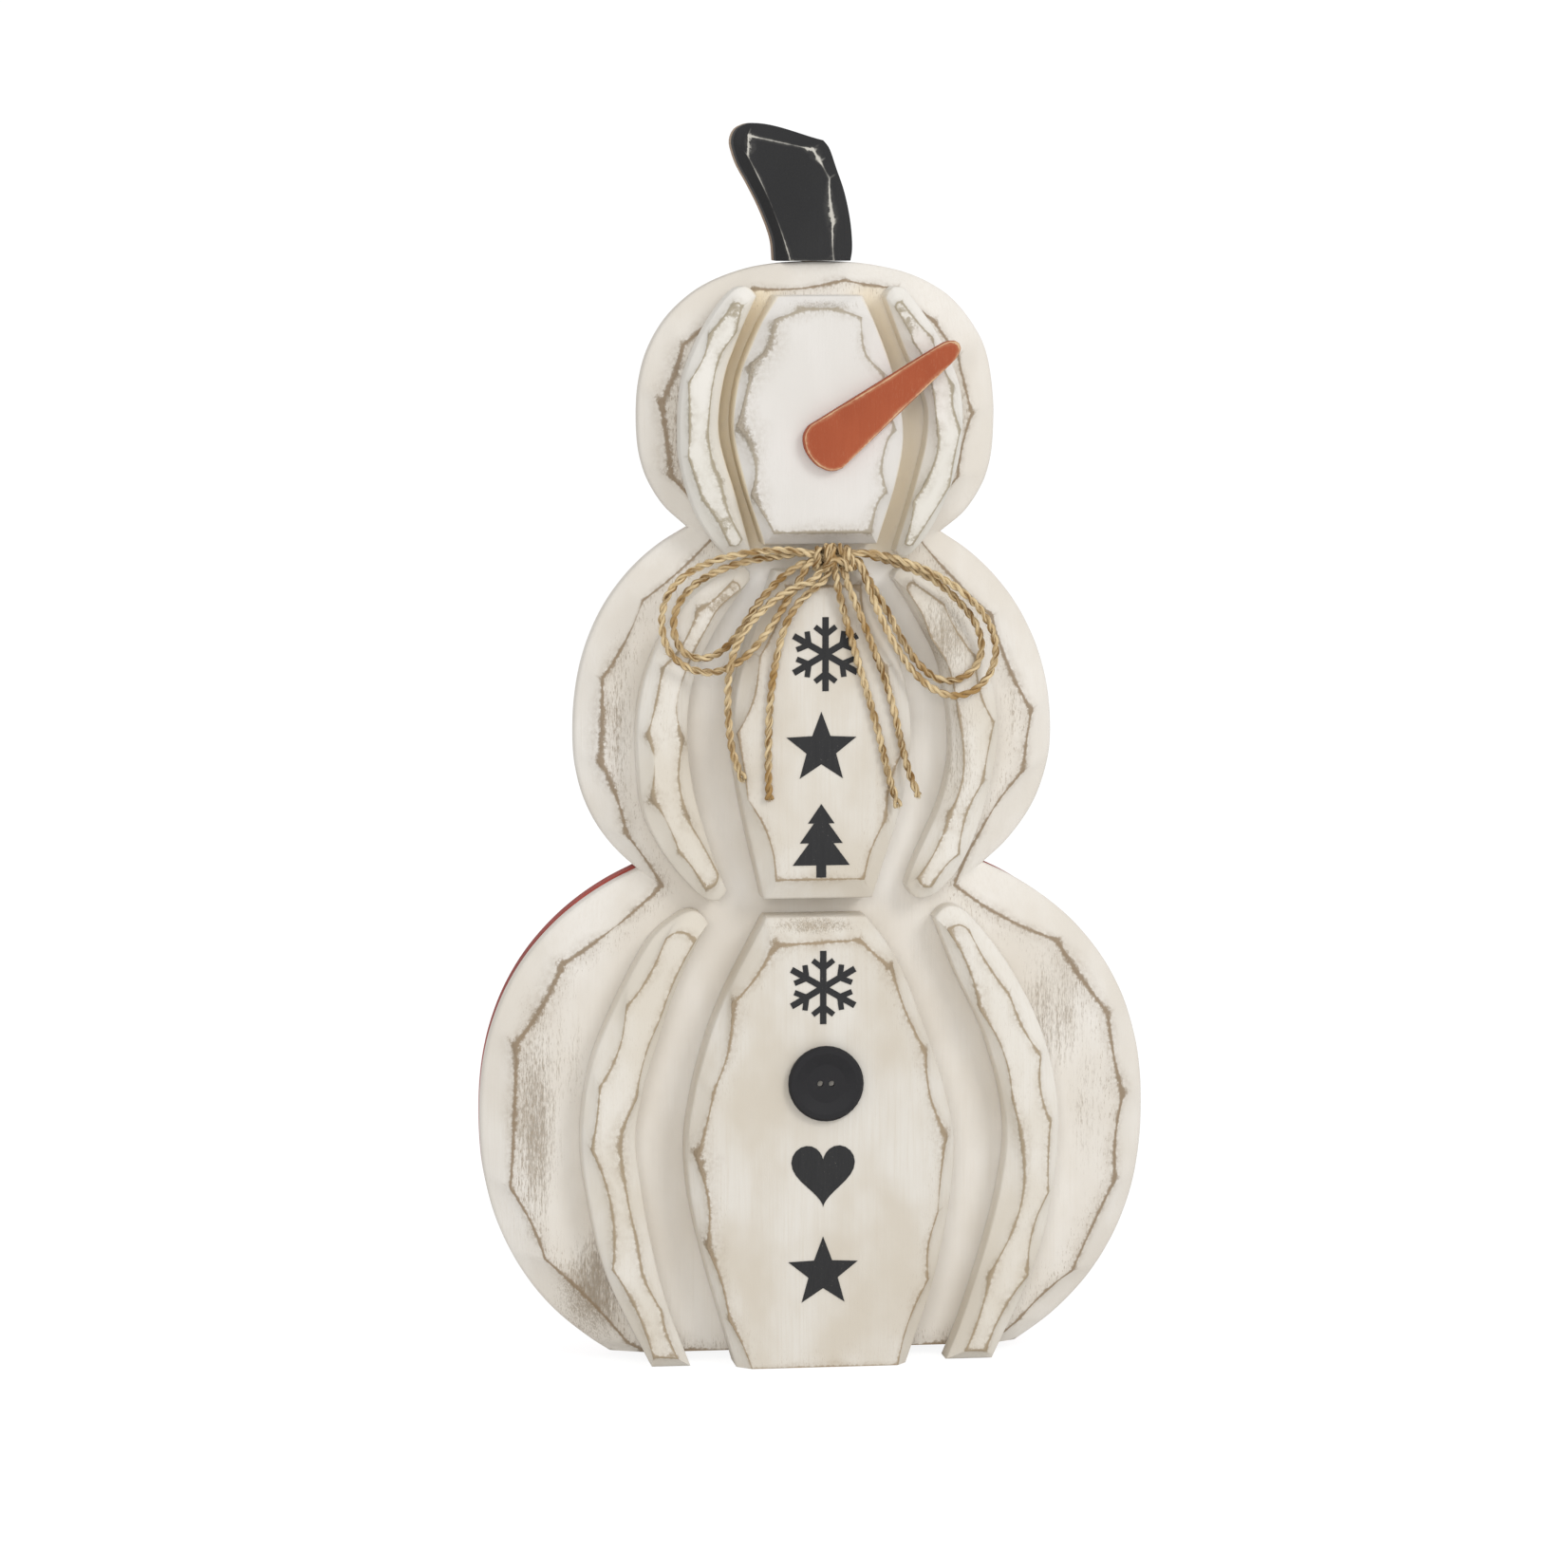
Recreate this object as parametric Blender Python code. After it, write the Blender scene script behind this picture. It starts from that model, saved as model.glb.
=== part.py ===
"""A reversible wooden snowman figure: three stacked round lobes sawn from two boards.

The two boards are glued back to back. Each carries raised ribs and centre panels with whittled
edges and half of a stem. The front also has a carrot nose, a coat button and a twine bow.

Every length below is in millimetres. X runs to the right as seen from the front, Z runs up,
and a height h is measured from the glue line between the two boards towards one of the faces.
"""

import math
from collections import namedtuple

import bmesh
import bpy
from mathutils import Matrix, Vector

for old_object in list(bpy.data.objects):
    bpy.data.objects.remove(old_object, do_unlink=True)

MM = 0.001
GAP = 0.3  # clear space left between two glued pieces
OVERSHOOT = 1.0  # how far a hole's cutter reaches past the surface it opens
STEP = 16.0  # spacing of the points along an outline
FINE_STEP = 4.0  # the same for small round shapes
SMOOTH_SPANS = 6  # straight pieces between two points of a smooth curve
CORNER_ROOM = 0.4  # nearest that a filled-in point may come to a corner, in steps

# How far a knife cut bows inwards, as a share of its length.
BOARD_SCALLOP, RIB_SCALLOP, STEM_SCALLOP = 0.025, 0.05, 0.02
PANEL_SCALLOPS = {"head": 0.10, "middle": 0.05, "base": 0.045}
# How much deeper or shallower the single cuts are, and how fast that changes along an edge.
SCALLOP_SWING, SCALLOP_BEAT = 0.7, 2.4
# How far the round ends of a rib bow outwards: sawn outline and whittled edge.
RIB_END_BOW, RIB_END_EDGE_BOW = 0.30, 0.28

# Thickness of each layer, and how deep its whittled edge is cut.
BOARD_THICK, BOARD_CUT = 18.0, 8.0
RIB_THICK, RIB_CUT = 20.0, 6.0
PANEL_THICK, PANEL_CUT = 26.0, 6.5
STEM_THICK, STEM_CUT = 14.0, 5.0
NOSE_THICK, NOSE_CUT = 6.0, 0.8
BUTTON_THICK = 4.5

BOARD_BACK = GAP / 2
BOARD_FACE = BOARD_BACK + BOARD_THICK
APPLIED_BACK = BOARD_FACE + GAP
PANEL_FACE = APPLIED_BACK + PANEL_THICK
NOSE_BACK = PANEL_FACE + GAP
NOSE_FACE = NOSE_BACK + NOSE_THICK
# The nose makes the front deeper than the back, so the glue line lies behind the middle.
GLUE_Y = (NOSE_FACE - PANEL_FACE) / 2

FRONT, BACK = 1, -1
SIDES = {"front": FRONT, "back": BACK}

# Finishes: colour, roughness, metallic.
CREAM = (0.76, 0.72, 0.64), 0.75, 0.0
BRICK = (0.36, 0.10, 0.07), 0.70, 0.0
BLACK = (0.035, 0.034, 0.033), 0.60, 0.0
TAN = (0.45, 0.33, 0.20), 0.75, 0.0
CARROT = (0.40, 0.105, 0.035), 0.65, 0.0
BARE_WOOD = (0.62, 0.47, 0.30), 0.80, 0.0
STEEL = (0.55, 0.55, 0.54), 0.35, 1.0
JUTE = (0.56, 0.41, 0.22), 0.95, 0.0

# A lobe: height of its middle, shift to the right, half width, reach up and down from the middle,
# and how square its left and right sides are.
Lobe = namedtuple("Lobe", "middle shift half up down left_square right_square")
LEFT, RIGHT = -1, 1
FRONT_LOBES = {
    "base": Lobe(122.0, 0.0, 164.7, 136.5, 141.0, 2.25, 2.25),
    "middle": Lobe(310.0, 0.0, 118.0, 114.0, 91.5, 2.22, 2.08),
    "head": Lobe(464.0, 1.3, 87.7, 76.0, 68.5, 2.38, 2.56),
}
# The rear board was sawn a little smaller, but its lowest lobe stands out over the left shoulder.
BACK_SHRINK = 1.5
BACK_LOBES = {
    key: lobe._replace(half=lobe.half - BACK_SHRINK, up=lobe.up - BACK_SHRINK)
    for key, lobe in FRONT_LOBES.items()
}
BACK_LOBES["base"] = BACK_LOBES["base"]._replace(shift=-1.0, up=FRONT_LOBES["base"].up + 1.2)
# The boards stop a little above the feet of the ribs and panels.
BOARD_BOTTOM = 4.5

# The whittled edge of a board's face, as the corners between knife cuts: up the right side,
# over the head and down the left side.
BOARD_EDGE = [
    [(88, BOARD_BOTTOM), (102, 16), (129, 40), (150, 85), (154, 128), (146, 169),
     (120, 206), (69, 234)],
    [(69, 234), (84, 264), (103, 290), (107, 320), (87, 367), (50, 406)],
    [(50, 406), (70, 435), (77, 466), (70, 494), (58, 511), (40, 527), (14, 531), (-31, 527),
     (-53, 510), (-65, 500), (-76, 471), (-71, 436), (-50, 407)],
    [(-50, 407), (-85, 376), (-105, 338), (-106, 297), (-93, 261), (-76, 236)],
    [(-76, 236), (-125, 198), (-148, 159), (-151, 88), (-134, 52), (-93, 9),
     (-84, BOARD_BOTTOM)],
    [(-84, BOARD_BOTTOM), (88, BOARD_BOTTOM)],
]

# Each applied piece: the sawn outline of its left and right side, and the corners of the
# whittled edge inside them, all from the bottom up.
RIBS = {
    "head_left": {
        "left": [(-47, 400), (-57, 413), (-67, 439), (-68, 469), (-65, 488), (-55, 510), (-43, 526)],
        "right": [(-34, 401), (-41, 427), (-49, 455), (-48, 480), (-40, 504), (-31, 524)],
        "left_edge": [(-45, 404), (-58, 426), (-65, 447), (-65, 482), (-55, 505), (-43, 520)],
        "right_edge": [(-39, 407), (-50, 436), (-55, 465), (-52, 487), (-42, 506), (-39, 519)],
    },
    "head_right": {
        "left": [(37, 400), (46, 429), (53, 459), (51, 476), (41, 499), (32, 523)],
        "right": [(45, 399), (54, 410), (66, 436), (70, 459), (68, 482), (57, 506), (42, 527)],
        "left_edge": [(41, 404), (45, 425), (57, 452), (54, 480), (45, 501), (36, 518)],
        "right_edge": [(45, 404), (51, 413), (63, 432), (68, 459), (64, 480), (54, 504), (39, 521)],
    },
    "middle_left": {
        "left": [(-56, 231), (-71, 246), (-85, 270), (-89, 298), (-88, 328), (-79, 355), (-61, 380),
                 (-40, 393)],
        "right": [(-46, 235), (-54, 256), (-62, 284), (-65, 312), (-62, 338), (-51, 363), (-34, 387)],
        "left_edge": [(-57, 237), (-70, 255), (-83, 281), (-85, 312), (-78, 344), (-61, 372),
                      (-44, 386)],
        "right_edge": [(-51, 245), (-58, 258), (-70, 293), (-68, 310), (-71, 324), (-66, 344),
                       (-55, 366), (-40, 382)],
    },
    "middle_right": {
        "left": [(43, 236), (48, 250), (60, 277), (65, 305), (60, 343), (46, 371), (36, 387)],
        "right": [(56, 231), (66, 240), (77, 261), (85, 289), (88, 316), (81, 348), (66, 378),
                  (45, 391)],
        "left_edge": [(48, 241), (53, 248), (63, 271), (70, 302), (64, 338), (54, 357), (42, 381)],
        "right_edge": [(54, 236), (68, 252), (80, 288), (85, 316), (76, 348), (60, 374), (45, 385)],
    },
    "base_left": {
        "left": [(-83, 0), (-104, 43), (-113, 79), (-117, 112), (-113, 147), (-100, 180), (-83, 211),
                 (-69, 223)],
        "right": [(-64, 0), (-78, 39), (-88, 88), (-90, 124), (-77, 170), (-66, 198), (-55, 219)],
        "left_edge": [(-83, 6), (-103, 50), (-113, 109), (-109, 140), (-96, 179), (-77, 212)],
        "right_edge": [(-71, 5), (-79, 29), (-91, 64), (-99, 108), (-91, 134), (-79, 174),
                       (-62, 211)],
    },
    "base_right": {
        "left": [(63, 0), (73, 25), (88, 76), (93, 117), (83, 160), (69, 190), (57, 220)],
        "right": [(86, 0), (105, 41), (115, 77), (119, 122), (110, 164), (91, 200), (73, 222)],
        "left_edge": [(72, 5), (84, 43), (94, 62), (100, 106), (95, 130), (79, 174), (63, 214)],
        "right_edge": [(82, 5), (103, 42), (113, 83), (114, 118), (109, 151), (93, 182), (73, 214)],
    },
}
PANELS = {
    "head": {
        "left": [(-28, 404), (-39, 439), (-43, 462), (-40, 485), (-31, 508), (-22, 524)],
        "right": [(27, 404), (37, 436), (40, 457), (37, 478), (30, 501), (20, 524)],
        "left_edge": [(-24, 410), (-35, 429), (-42, 462), (-35, 492), (-23, 513), (-9, 518)],
        "right_edge": [(23, 410), (31, 430), (35, 460), (29, 487), (18, 514), (6, 518)],
    },
    "middle": {
        "left": [(-28, 231), (-39, 279), (-43, 312), (-39, 344), (-22, 391)],
        "right": [(25, 231), (40, 279), (44, 314), (39, 344), (22, 391)],
        "left_edge": [(-23, 241), (-37, 281), (-42, 313), (-31, 350), (-18, 384)],
        "right_edge": [(20, 241), (31, 271), (40, 305), (31, 344), (18, 384)],
    },
    "base": {
        "left": [(-42, 0), (-60, 64), (-66, 105), (-61, 142), (-49, 179), (-27, 222)],
        "right": [(42, 0), (57, 46), (66, 102), (60, 140), (39, 197), (22, 222)],
        "left_edge": [(-35, 0), (-46, 24), (-57, 61), (-62, 105), (-54, 137), (-45, 180), (-24, 209)],
        "right_edge": [(37, 0), (52, 42), (57, 76), (61, 113), (51, 155), (34, 197), (18, 211)],
    },
}
STEM = {
    "left": [(-18.4, 540.3), (-19.6, 551.4), (-24.8, 565.3), (-31.2, 578.0), (-36.4, 587.4),
             (-39.3, 596.6), (-38.8, 601.2), (-35.9, 605.3), (-30.1, 607.1)],
    "right": [(18.3, 540.3), (19.2, 547.0), (18.2, 559.7), (15.3, 573.6), (11.3, 585.2),
              (8.0, 594.6), (4.9, 598.7)],
    "left_edge": [(-12.0, 540.3), (-33.0, 591.0), (-33.0, 601.1)],
    "right_edge": [(9.3, 540.3), (8.8, 560.6), (7.2, 580.4), (2.6, 588.5), (-0.8, 594.3)],
}

# The carrot nose: its blunt end, its tilt, and half of its outline as (along, across).
NOSE_END, NOSE_TILT = (-7.0, 446.0), math.radians(37.3)
NOSE_HALF = [
    (0.8, 5.5), (3.5, 10.2), (8.5, 12.8), (15.0, 12.4), (50.0, 8.7), (80.0, 5.5), (87.0, 4.3),
    (90.3, 2.2),
]
NOSE_LENGTH = 91.0

# The coat button, hollowed a little towards its two holes.
BUTTON_AT, BUTTON_RADIUS, BUTTON_SIDES = (1.0, 141.0), 18.5, 32
BUTTON_EDGE, BUTTON_RIM, BUTTON_HOLLOW, BUTTON_DISH = 1.2, 3.4, 9.0, 1.6
HOLE_SPACING, HOLE_RADIUS, HOLE_SIDES = 5.6, 1.5, 12

# Fasteners. Brads are driven from the glue line through the board into each applied piece.
BRAD_LENGTH, BRAD_RADIUS, BRAD_HEAD_RADIUS, BRAD_HEAD = 30.0, 0.8, 1.5, 1.0
WIRE_TIP, TIP_SHARE, WIRE_SIDES = 1.8, 0.25, 8  # a point's length, its blunt end, its sides
BRAD_AT = {
    "head_left_rib": (-59, 460), "head_right_rib": (62, 460), "head_centre_panel": (0, 455),
    "middle_left_rib": (-77, 300), "middle_right_rib": (77, 300), "middle_centre_panel": (0, 300),
    "base_left_rib": (-104, 100), "base_right_rib": (106, 100), "base_centre_panel": (0, 60),
}
DOWEL_RADIUS, DOWEL_CHAMFER, DOWEL_SIDES = 3.0, 0.5, 16
BOARD_DOWEL_LENGTH = 22.0
BOARD_DOWELS_AT = {"upper": (0, 495), "lower": (0, 165)}
STEM_DOWEL_LENGTH, STEM_DOWEL_X, STEM_DOWEL_HEIGHT = 34.0, -1.0, 5.5
PIN_RADIUS, PIN_HEAD_RADIUS, PIN_HEAD = 0.8, 2.0, 1.0
PIN_DEPTH_IN_BOARD = 11.0
CLEARANCE = 0.35  # between a fastener and the wall of its hole

# The bow: doubled jute twine, tied in a knot over the gap between two panels.
TWINE = 3.6
KNOT_AT, KNOT_HALF = (4.5, 398.0), (11.6, 6.2, 7.2)
KNOT_HEIGHT, KNOT_BLUNTNESS = 48.3, 0.5
KNOT_SIDES, KNOT_ROWS = 16, 10
# Each route: (across, up, height above the glue line), read as one smooth curve.
BOW_ROUTES = {
    "left_outer_loop": [
        (-7.8, 400.3, 50.3), (-14, 401.6, 50.5), (-24, 402.0, 50.5), (-40, 400.5, 49.7),
        (-56, 396.2, 47.7), (-69, 389.0, 46.7), (-77, 378.5, 46.3), (-79, 365.5, 46.3),
        (-75.5, 353.5, 46.3), (-67, 345.6, 46.4), (-56.5, 343.0, 46.6), (-46.5, 345.2, 47.1),
        (-36.5, 352.5, 48.7), (-27.0, 364.5, 50.4), (-18.0, 378.5, 50.7), (-12.0, 388.5, 50.5),
        (-7.8, 395.6, 50.3),
    ],
    "left_inner_loop": [
        (-7.8, 400.3, 46.4), (-14, 400.0, 46.6), (-24, 398.6, 46.6), (-38, 396.4, 45.8),
        (-52, 391.6, 43.8), (-64, 384.0, 42.6), (-71.5, 373.5, 42.3), (-72.5, 361.5, 42.3),
        (-67.5, 352.2, 42.3), (-58.5, 349.4, 42.5), (-49.0, 353.4, 43.0), (-41.0, 362.5, 44.4),
        (-33.0, 375.0, 46.3), (-23.0, 386.5, 46.8), (-14.0, 393.4, 46.6), (-7.8, 396.0, 46.4),
    ],
    "right_outer_loop": [
        (16.8, 400.3, 50.3), (24, 400.0, 50.5), (34, 397.6, 50.3), (50, 391.5, 49.1),
        (66, 382.0, 47.5), (78, 370.0, 46.5), (84, 356.5, 46.3), (82.5, 343.0, 46.3),
        (74.5, 333.2, 46.3), (64.0, 330.2, 46.4), (53.0, 334.0, 46.8), (42.5, 343.5, 48.1),
        (33.5, 357.0, 49.9), (26.5, 371.0, 50.6), (21.0, 384.0, 50.6), (16.8, 395.2, 50.3),
    ],
    "right_inner_loop": [
        (16.8, 400.3, 46.4), (24, 398.4, 46.6), (36, 394.4, 46.2), (52, 387.6, 44.6),
        (65, 377.4, 43.0), (75, 365.0, 42.4), (78, 352.5, 42.3), (74, 342.6, 42.3),
        (65.0, 337.4, 42.4), (55.5, 338.6, 42.7), (46.5, 346.0, 43.6), (38.5, 357.5, 45.2),
        (31.5, 370.5, 46.6), (24.5, 382.5, 46.8), (19.8, 390.2, 46.6), (16.8, 396.0, 46.4),
    ],
    "left_long_tail": [
        (-4.0, 389.9, 52.2), (-7.0, 387.2, 53.8), (-13.2, 384.8, 54.6), (-22.0, 380.6, 54.6),
        (-31.0, 373.4, 53.8), (-39.0, 364.0, 52.6), (-44.5, 353.5, 51.8), (-47.0, 342.0, 50.9),
        (-47.3, 330.0, 48.8), (-46.6, 318.0, 46.4), (-45.0, 306.0, 45.6), (-42.0, 296.0, 45.8),
        (-39.4, 290.5, 46.6),
    ],
    "left_short_tail": [
        (1.0, 389.9, 49.6), (-1.8, 386.2, 50.2), (-8.6, 381.0, 51.8), (-15.0, 374.4, 52.6),
        (-19.5, 365.5, 50.8), (-22.5, 354.0, 48.4), (-25.0, 340.0, 46.9), (-26.6, 324.0, 46.6),
        (-27.2, 308.0, 46.6), (-27.2, 293.0, 46.6), (-26.8, 281.0, 46.8),
    ],
    "right_short_tail": [
        (5.2, 389.9, 50.6), (5.9, 385.4, 50.4), (8.2, 376.0, 49.0), (11.4, 365.0, 47.6),
        (15.2, 352.0, 46.8), (19.4, 338.0, 46.6), (23.6, 324.0, 46.6), (27.6, 309.0, 46.6),
        (31.4, 293.0, 46.6), (36.4, 276.5, 46.8),
    ],
    "right_long_tail": [
        (9.6, 389.9, 50.6), (11.2, 385.0, 50.4), (15.0, 376.0, 49.2), (19.6, 365.0, 48.0),
        (24.8, 352.0, 47.2), (30.0, 338.0, 46.8), (34.4, 323.0, 46.6), (38.0, 307.0, 46.5),
        (41.6, 294.0, 46.2), (46.4, 281.5, 46.0),
    ],
}
ROUTE_STEP = 2.5 * TWINE


def point(across, up, height, side=FRONT):
    """A place on one side of the glue line, as a vector in metres."""
    return Vector((across, GLUE_Y - side * height, up)) * MM


def finish(thing, look):
    """Give an object its own plain material."""
    colour, roughness, metallic = look
    material = bpy.data.materials.new(f"{thing.name}_finish")
    material.use_nodes = True
    shader = material.node_tree.nodes["Principled BSDF"]
    shader.inputs["Base Color"].default_value = (*colour, 1.0)
    shader.inputs["Roughness"].default_value = roughness
    shader.inputs["Metallic"].default_value = metallic
    thing.data.materials.append(material)


def add_mesh(name, shape, look=None):
    """Turn a finished bmesh into an object."""
    bmesh.ops.recalc_face_normals(shape, faces=shape.faces)
    mesh = bpy.data.meshes.new(name)
    shape.to_mesh(mesh)
    shape.free()
    thing = bpy.data.objects.new(name, mesh)
    bpy.context.collection.objects.link(thing)
    if look:
        finish(thing, look)
    return thing


def smooth_shade(thing, angle=math.radians(40)):
    thing.data.shade_smooth()
    thing.data.set_sharp_from_angle(angle=angle)


def smooth_curve(points, spans=SMOOTH_SPANS):
    """A Catmull-Rom curve through the points, in any number of dimensions."""
    ends = [Vector(p) for p in points]
    ends = [2 * ends[0] - ends[1], *ends, 2 * ends[-1] - ends[-2]]
    curve = []
    for before, start, end, after in zip(ends, ends[1:], ends[2:], ends[3:]):
        for i in range(spans):
            t = i / spans
            curve.append(0.5 * (
                2 * start + (end - before) * t
                + (2 * before - 5 * start + 4 * end - after) * t ** 2
                + (3 * start - before - 3 * end + after) * t ** 3
            ))
    return [*curve, ends[-2]]


def distances(points):
    """How far along the line each of its points lies."""
    along = [0.0]
    for start, end in zip(points, points[1:]):
        along.append(along[-1] + (end - start).length)
    return along


def at_shares(points, shares):
    """The places at the given shares of a line's length."""
    along = distances(points)
    places = []
    for share in shares:
        goal = share * along[-1]
        i = 0
        while i < len(along) - 2 and along[i + 1] < goal:
            i += 1
        t = (goal - along[i]) / (along[i + 1] - along[i])
        places.append(points[i].lerp(points[i + 1], min(max(t, 0.0), 1.0)))
    return places


def scalloped(edge, shares, bow):
    """Places along a whittled edge, each knife cut bowing inwards between its two corners.

    The piece lies on the left of the edge. Some cuts go deeper than others.
    """
    along = distances(edge)
    places = []
    for place, share in zip(at_shares(edge, shares), shares):
        goal = share * along[-1]
        i = max(k for k in range(len(along) - 1) if along[k] <= goal)
        chord = edge[i + 1] - edge[i]
        t = (goal - along[i]) / chord.length
        inwards = Vector((-chord.y, chord.x))
        depth = bow * (1 + SCALLOP_SWING * math.sin(SCALLOP_BEAT * i))
        places.append(place + inwards * depth * 4 * t * (1 - t))
    return places


def matched(outline, edge, bow, step):
    """Points along an outline and the same number along its whittled edge, last ones left out.

    Every corner of the edge is kept, and evenly spaced points fill in between them.
    """
    if len(outline) == 2:
        return outline[:1], edge[:1]
    along = distances(edge)
    corners = [d / along[-1] for d in along]
    count = max(1, math.ceil(distances(outline)[-1] / step))
    even = [i / count for i in range(count)]
    spare = CORNER_ROOM / count
    shares = corners[:-1] + [s for s in even if all(abs(s - c) > spare for c in corners)]
    shares.sort()
    return at_shares(outline, shares), scalloped(edge, shares, bow)


def whittled_solid(name, sections, heights, side, look):
    """A sawn piece: outline at the back and at the start of the cut, whittled edge at its face.

    Each section of its rim is an outline, its whittled edge, a bow and a spacing of points.
    """
    outline, edge = [], []
    for outer, inner, bow, step in sections:
        outer_points, inner_points = matched(
            [Vector(p) for p in outer], [Vector(p) for p in inner], bow, step
        )
        outline += outer_points
        edge += inner_points
    back, cut, face = heights
    shape = bmesh.new()
    rings = [
        [shape.verts.new(point(p.x, p.y, height, side)) for p in ring]
        for ring, height in ((outline, back), (outline, cut), (edge, face))
    ]
    strips = []
    for lower, upper in zip(rings, rings[1:]):
        for i in range(len(lower)):
            j = (i + 1) % len(lower)
            strips.append(shape.faces.new((lower[i], lower[j], upper[j], upper[i])))
    bmesh.ops.triangulate(shape, faces=strips)
    shape.faces.new(rings[0])
    shape.faces.new(rings[-1])
    return add_mesh(name, shape, look)


def end_section(first, last, first_edge, last_edge, bow=0.0, edge_bow=0.0):
    """The end of a piece: straight, or bowed outwards by a share of its width."""
    if not bow:
        return [first, last], [first_edge, last_edge], 0.0, STEP
    across = last - first
    outwards = Vector((across.y, -across.x))
    arc = [first + across * t + outwards * bow * 4 * t * (1 - t) for t in (0, 0.25, 0.5, 0.75, 1)]
    return arc, [first_edge, last_edge], -edge_bow, FINE_STEP


def applied_piece(name, sides, thick, cut, side, look, scallop, back=APPLIED_BACK, step=STEP,
                  bow=0.0, edge_bow=0.0):
    """A rib, a panel or a stem half, from its left and right sides.

    Its ends are bowed, except for one that it stands on.
    """
    left, right = smooth_curve(sides["left"]), smooth_curve(sides["right"])
    left_edge, right_edge = sides["left_edge"], sides["right_edge"]
    foot = 0.0 if left[0].y == 0 else bow
    sections = [
        end_section(left[0], right[0], left_edge[0], right_edge[0], foot, edge_bow),
        (right, right_edge, scallop, step),
        end_section(right[-1], left[-1], right_edge[-1], left_edge[-1], bow, edge_bow),
        (left[::-1], left_edge[::-1], scallop, step),
    ]
    heights = back, back + thick - cut, back + thick
    return whittled_solid(name, sections, heights, side, look)


def lobe_at(lobe, up, hand):
    """Where one side of a lobe lies at a height; its middle line above and below it."""
    square = lobe.right_square if hand == RIGHT else lobe.left_square
    share = abs(up - lobe.middle) / (lobe.up if up > lobe.middle else lobe.down)
    reach = lobe.half * (1 - share ** square) ** (1 / square) if share < 1 else 0.0
    return lobe.shift + hand * reach


def neck(lower, upper, hand):
    """The height at which the sides of two lobes meet, between their middles."""
    low, high = lower.middle, upper.middle
    for _ in range(40):
        middle = (low + high) / 2
        if hand * lobe_at(lower, middle, hand) > hand * lobe_at(upper, middle, hand):
            low = middle
        else:
            high = middle
    return (low + high) / 2


def lobe_side(lobe, low, high, hand, count=48):
    """One side of a lobe between two heights; the points crowd together at its top."""
    points = []
    for i in range(count + 1):
        up = low + (high - low) * math.sin(math.pi / 2 * i / count)
        points.append(Vector((lobe_at(lobe, up, hand), up)))
    return points


def board_sections(lobes):
    """The outline of a board in the same sections as BOARD_EDGE."""
    base, middle, head = lobes["base"], lobes["middle"], lobes["head"]
    sides = {}
    for hand in (LEFT, RIGHT):
        waist, throat = neck(base, middle, hand), neck(middle, head, hand)
        sides[hand] = [
            lobe_side(base, BOARD_BOTTOM, waist, hand),
            lobe_side(middle, waist, throat, hand),
            lobe_side(head, throat, head.middle + head.up, hand),
        ]
    right, left = sides[RIGHT], [side[::-1] for side in sides[LEFT]]
    outline = [right[0], right[1], right[2] + left[2][1:], left[1], left[0]]
    outline.append([outline[-1][-1], outline[0][0]])
    return [(outer, edge, BOARD_SCALLOP, STEP) for outer, edge in zip(outline, BOARD_EDGE)]


def turned(name, profile, sides, place, look=None):
    """A closed turned shape: (radius, height) rings about local Z, moved by a matrix."""
    shape = bmesh.new()
    rings = []
    for radius, height in profile:
        rings.append([
            shape.verts.new((
                radius * math.cos(2 * math.pi * i / sides) * MM,
                radius * math.sin(2 * math.pi * i / sides) * MM,
                height * MM,
            ))
            for i in range(sides)
        ])
    shape.faces.new(rings[0])
    shape.faces.new(rings[-1])
    for lower, upper in zip(rings, rings[1:]):
        for i in range(sides):
            j = (i + 1) % sides
            shape.faces.new((lower[i], lower[j], upper[j], upper[i]))
    thing = add_mesh(name, shape, look)
    thing.matrix_world = place
    if look:
        smooth_shade(thing)
    return thing


def facing(across, up, height, side=FRONT):
    """A frame whose local Z points from the glue line out of one side."""
    turn = Matrix.Rotation(math.radians(90 * side), 4, "X")
    return Matrix.Translation(point(across, up, height, side)) @ turn


def standing(across, up, height, side=FRONT):
    """A frame whose local Z points up."""
    return Matrix.Translation(point(across, up, height, side))


def make_cutter(name, profile, sides, place):
    cutter = turned(name, profile, sides, place)
    cutter.hide_render = True
    cutter.display_type = "WIRE"
    return cutter


def cut(things, cutter):
    for thing in things:
        boolean = thing.modifiers.new(f"hole_{cutter.name}", "BOOLEAN")
        boolean.operation = "DIFFERENCE"
        boolean.solver = "EXACT"
        boolean.object = cutter


def make_side(label, lobes, board_look, stem_look):
    """One side of the figure: its board, ribs, panels and half stem, by name."""
    side = SIDES[label]
    made = {}
    made["board"] = whittled_solid(
        f"{label}_board", board_sections(lobes),
        (BOARD_BACK, BOARD_FACE - BOARD_CUT, BOARD_FACE), side, board_look,
    )
    for key, sides in RIBS.items():
        made[f"{key}_rib"] = applied_piece(
            f"{label}_{key}_rib", sides, RIB_THICK, RIB_CUT, side, board_look, RIB_SCALLOP,
            bow=RIB_END_BOW, edge_bow=RIB_END_EDGE_BOW,
        )
    for key, sides in PANELS.items():
        made[f"{key}_centre_panel"] = applied_piece(
            f"{label}_{key}_centre_panel", sides, PANEL_THICK, PANEL_CUT, side, board_look,
            PANEL_SCALLOPS[key],
        )
    made["stem"] = applied_piece(
        f"{label}_stem", STEM, STEM_THICK, STEM_CUT, side, stem_look, STEM_SCALLOP,
        back=BOARD_BACK, step=FINE_STEP,
    )
    return made


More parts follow.
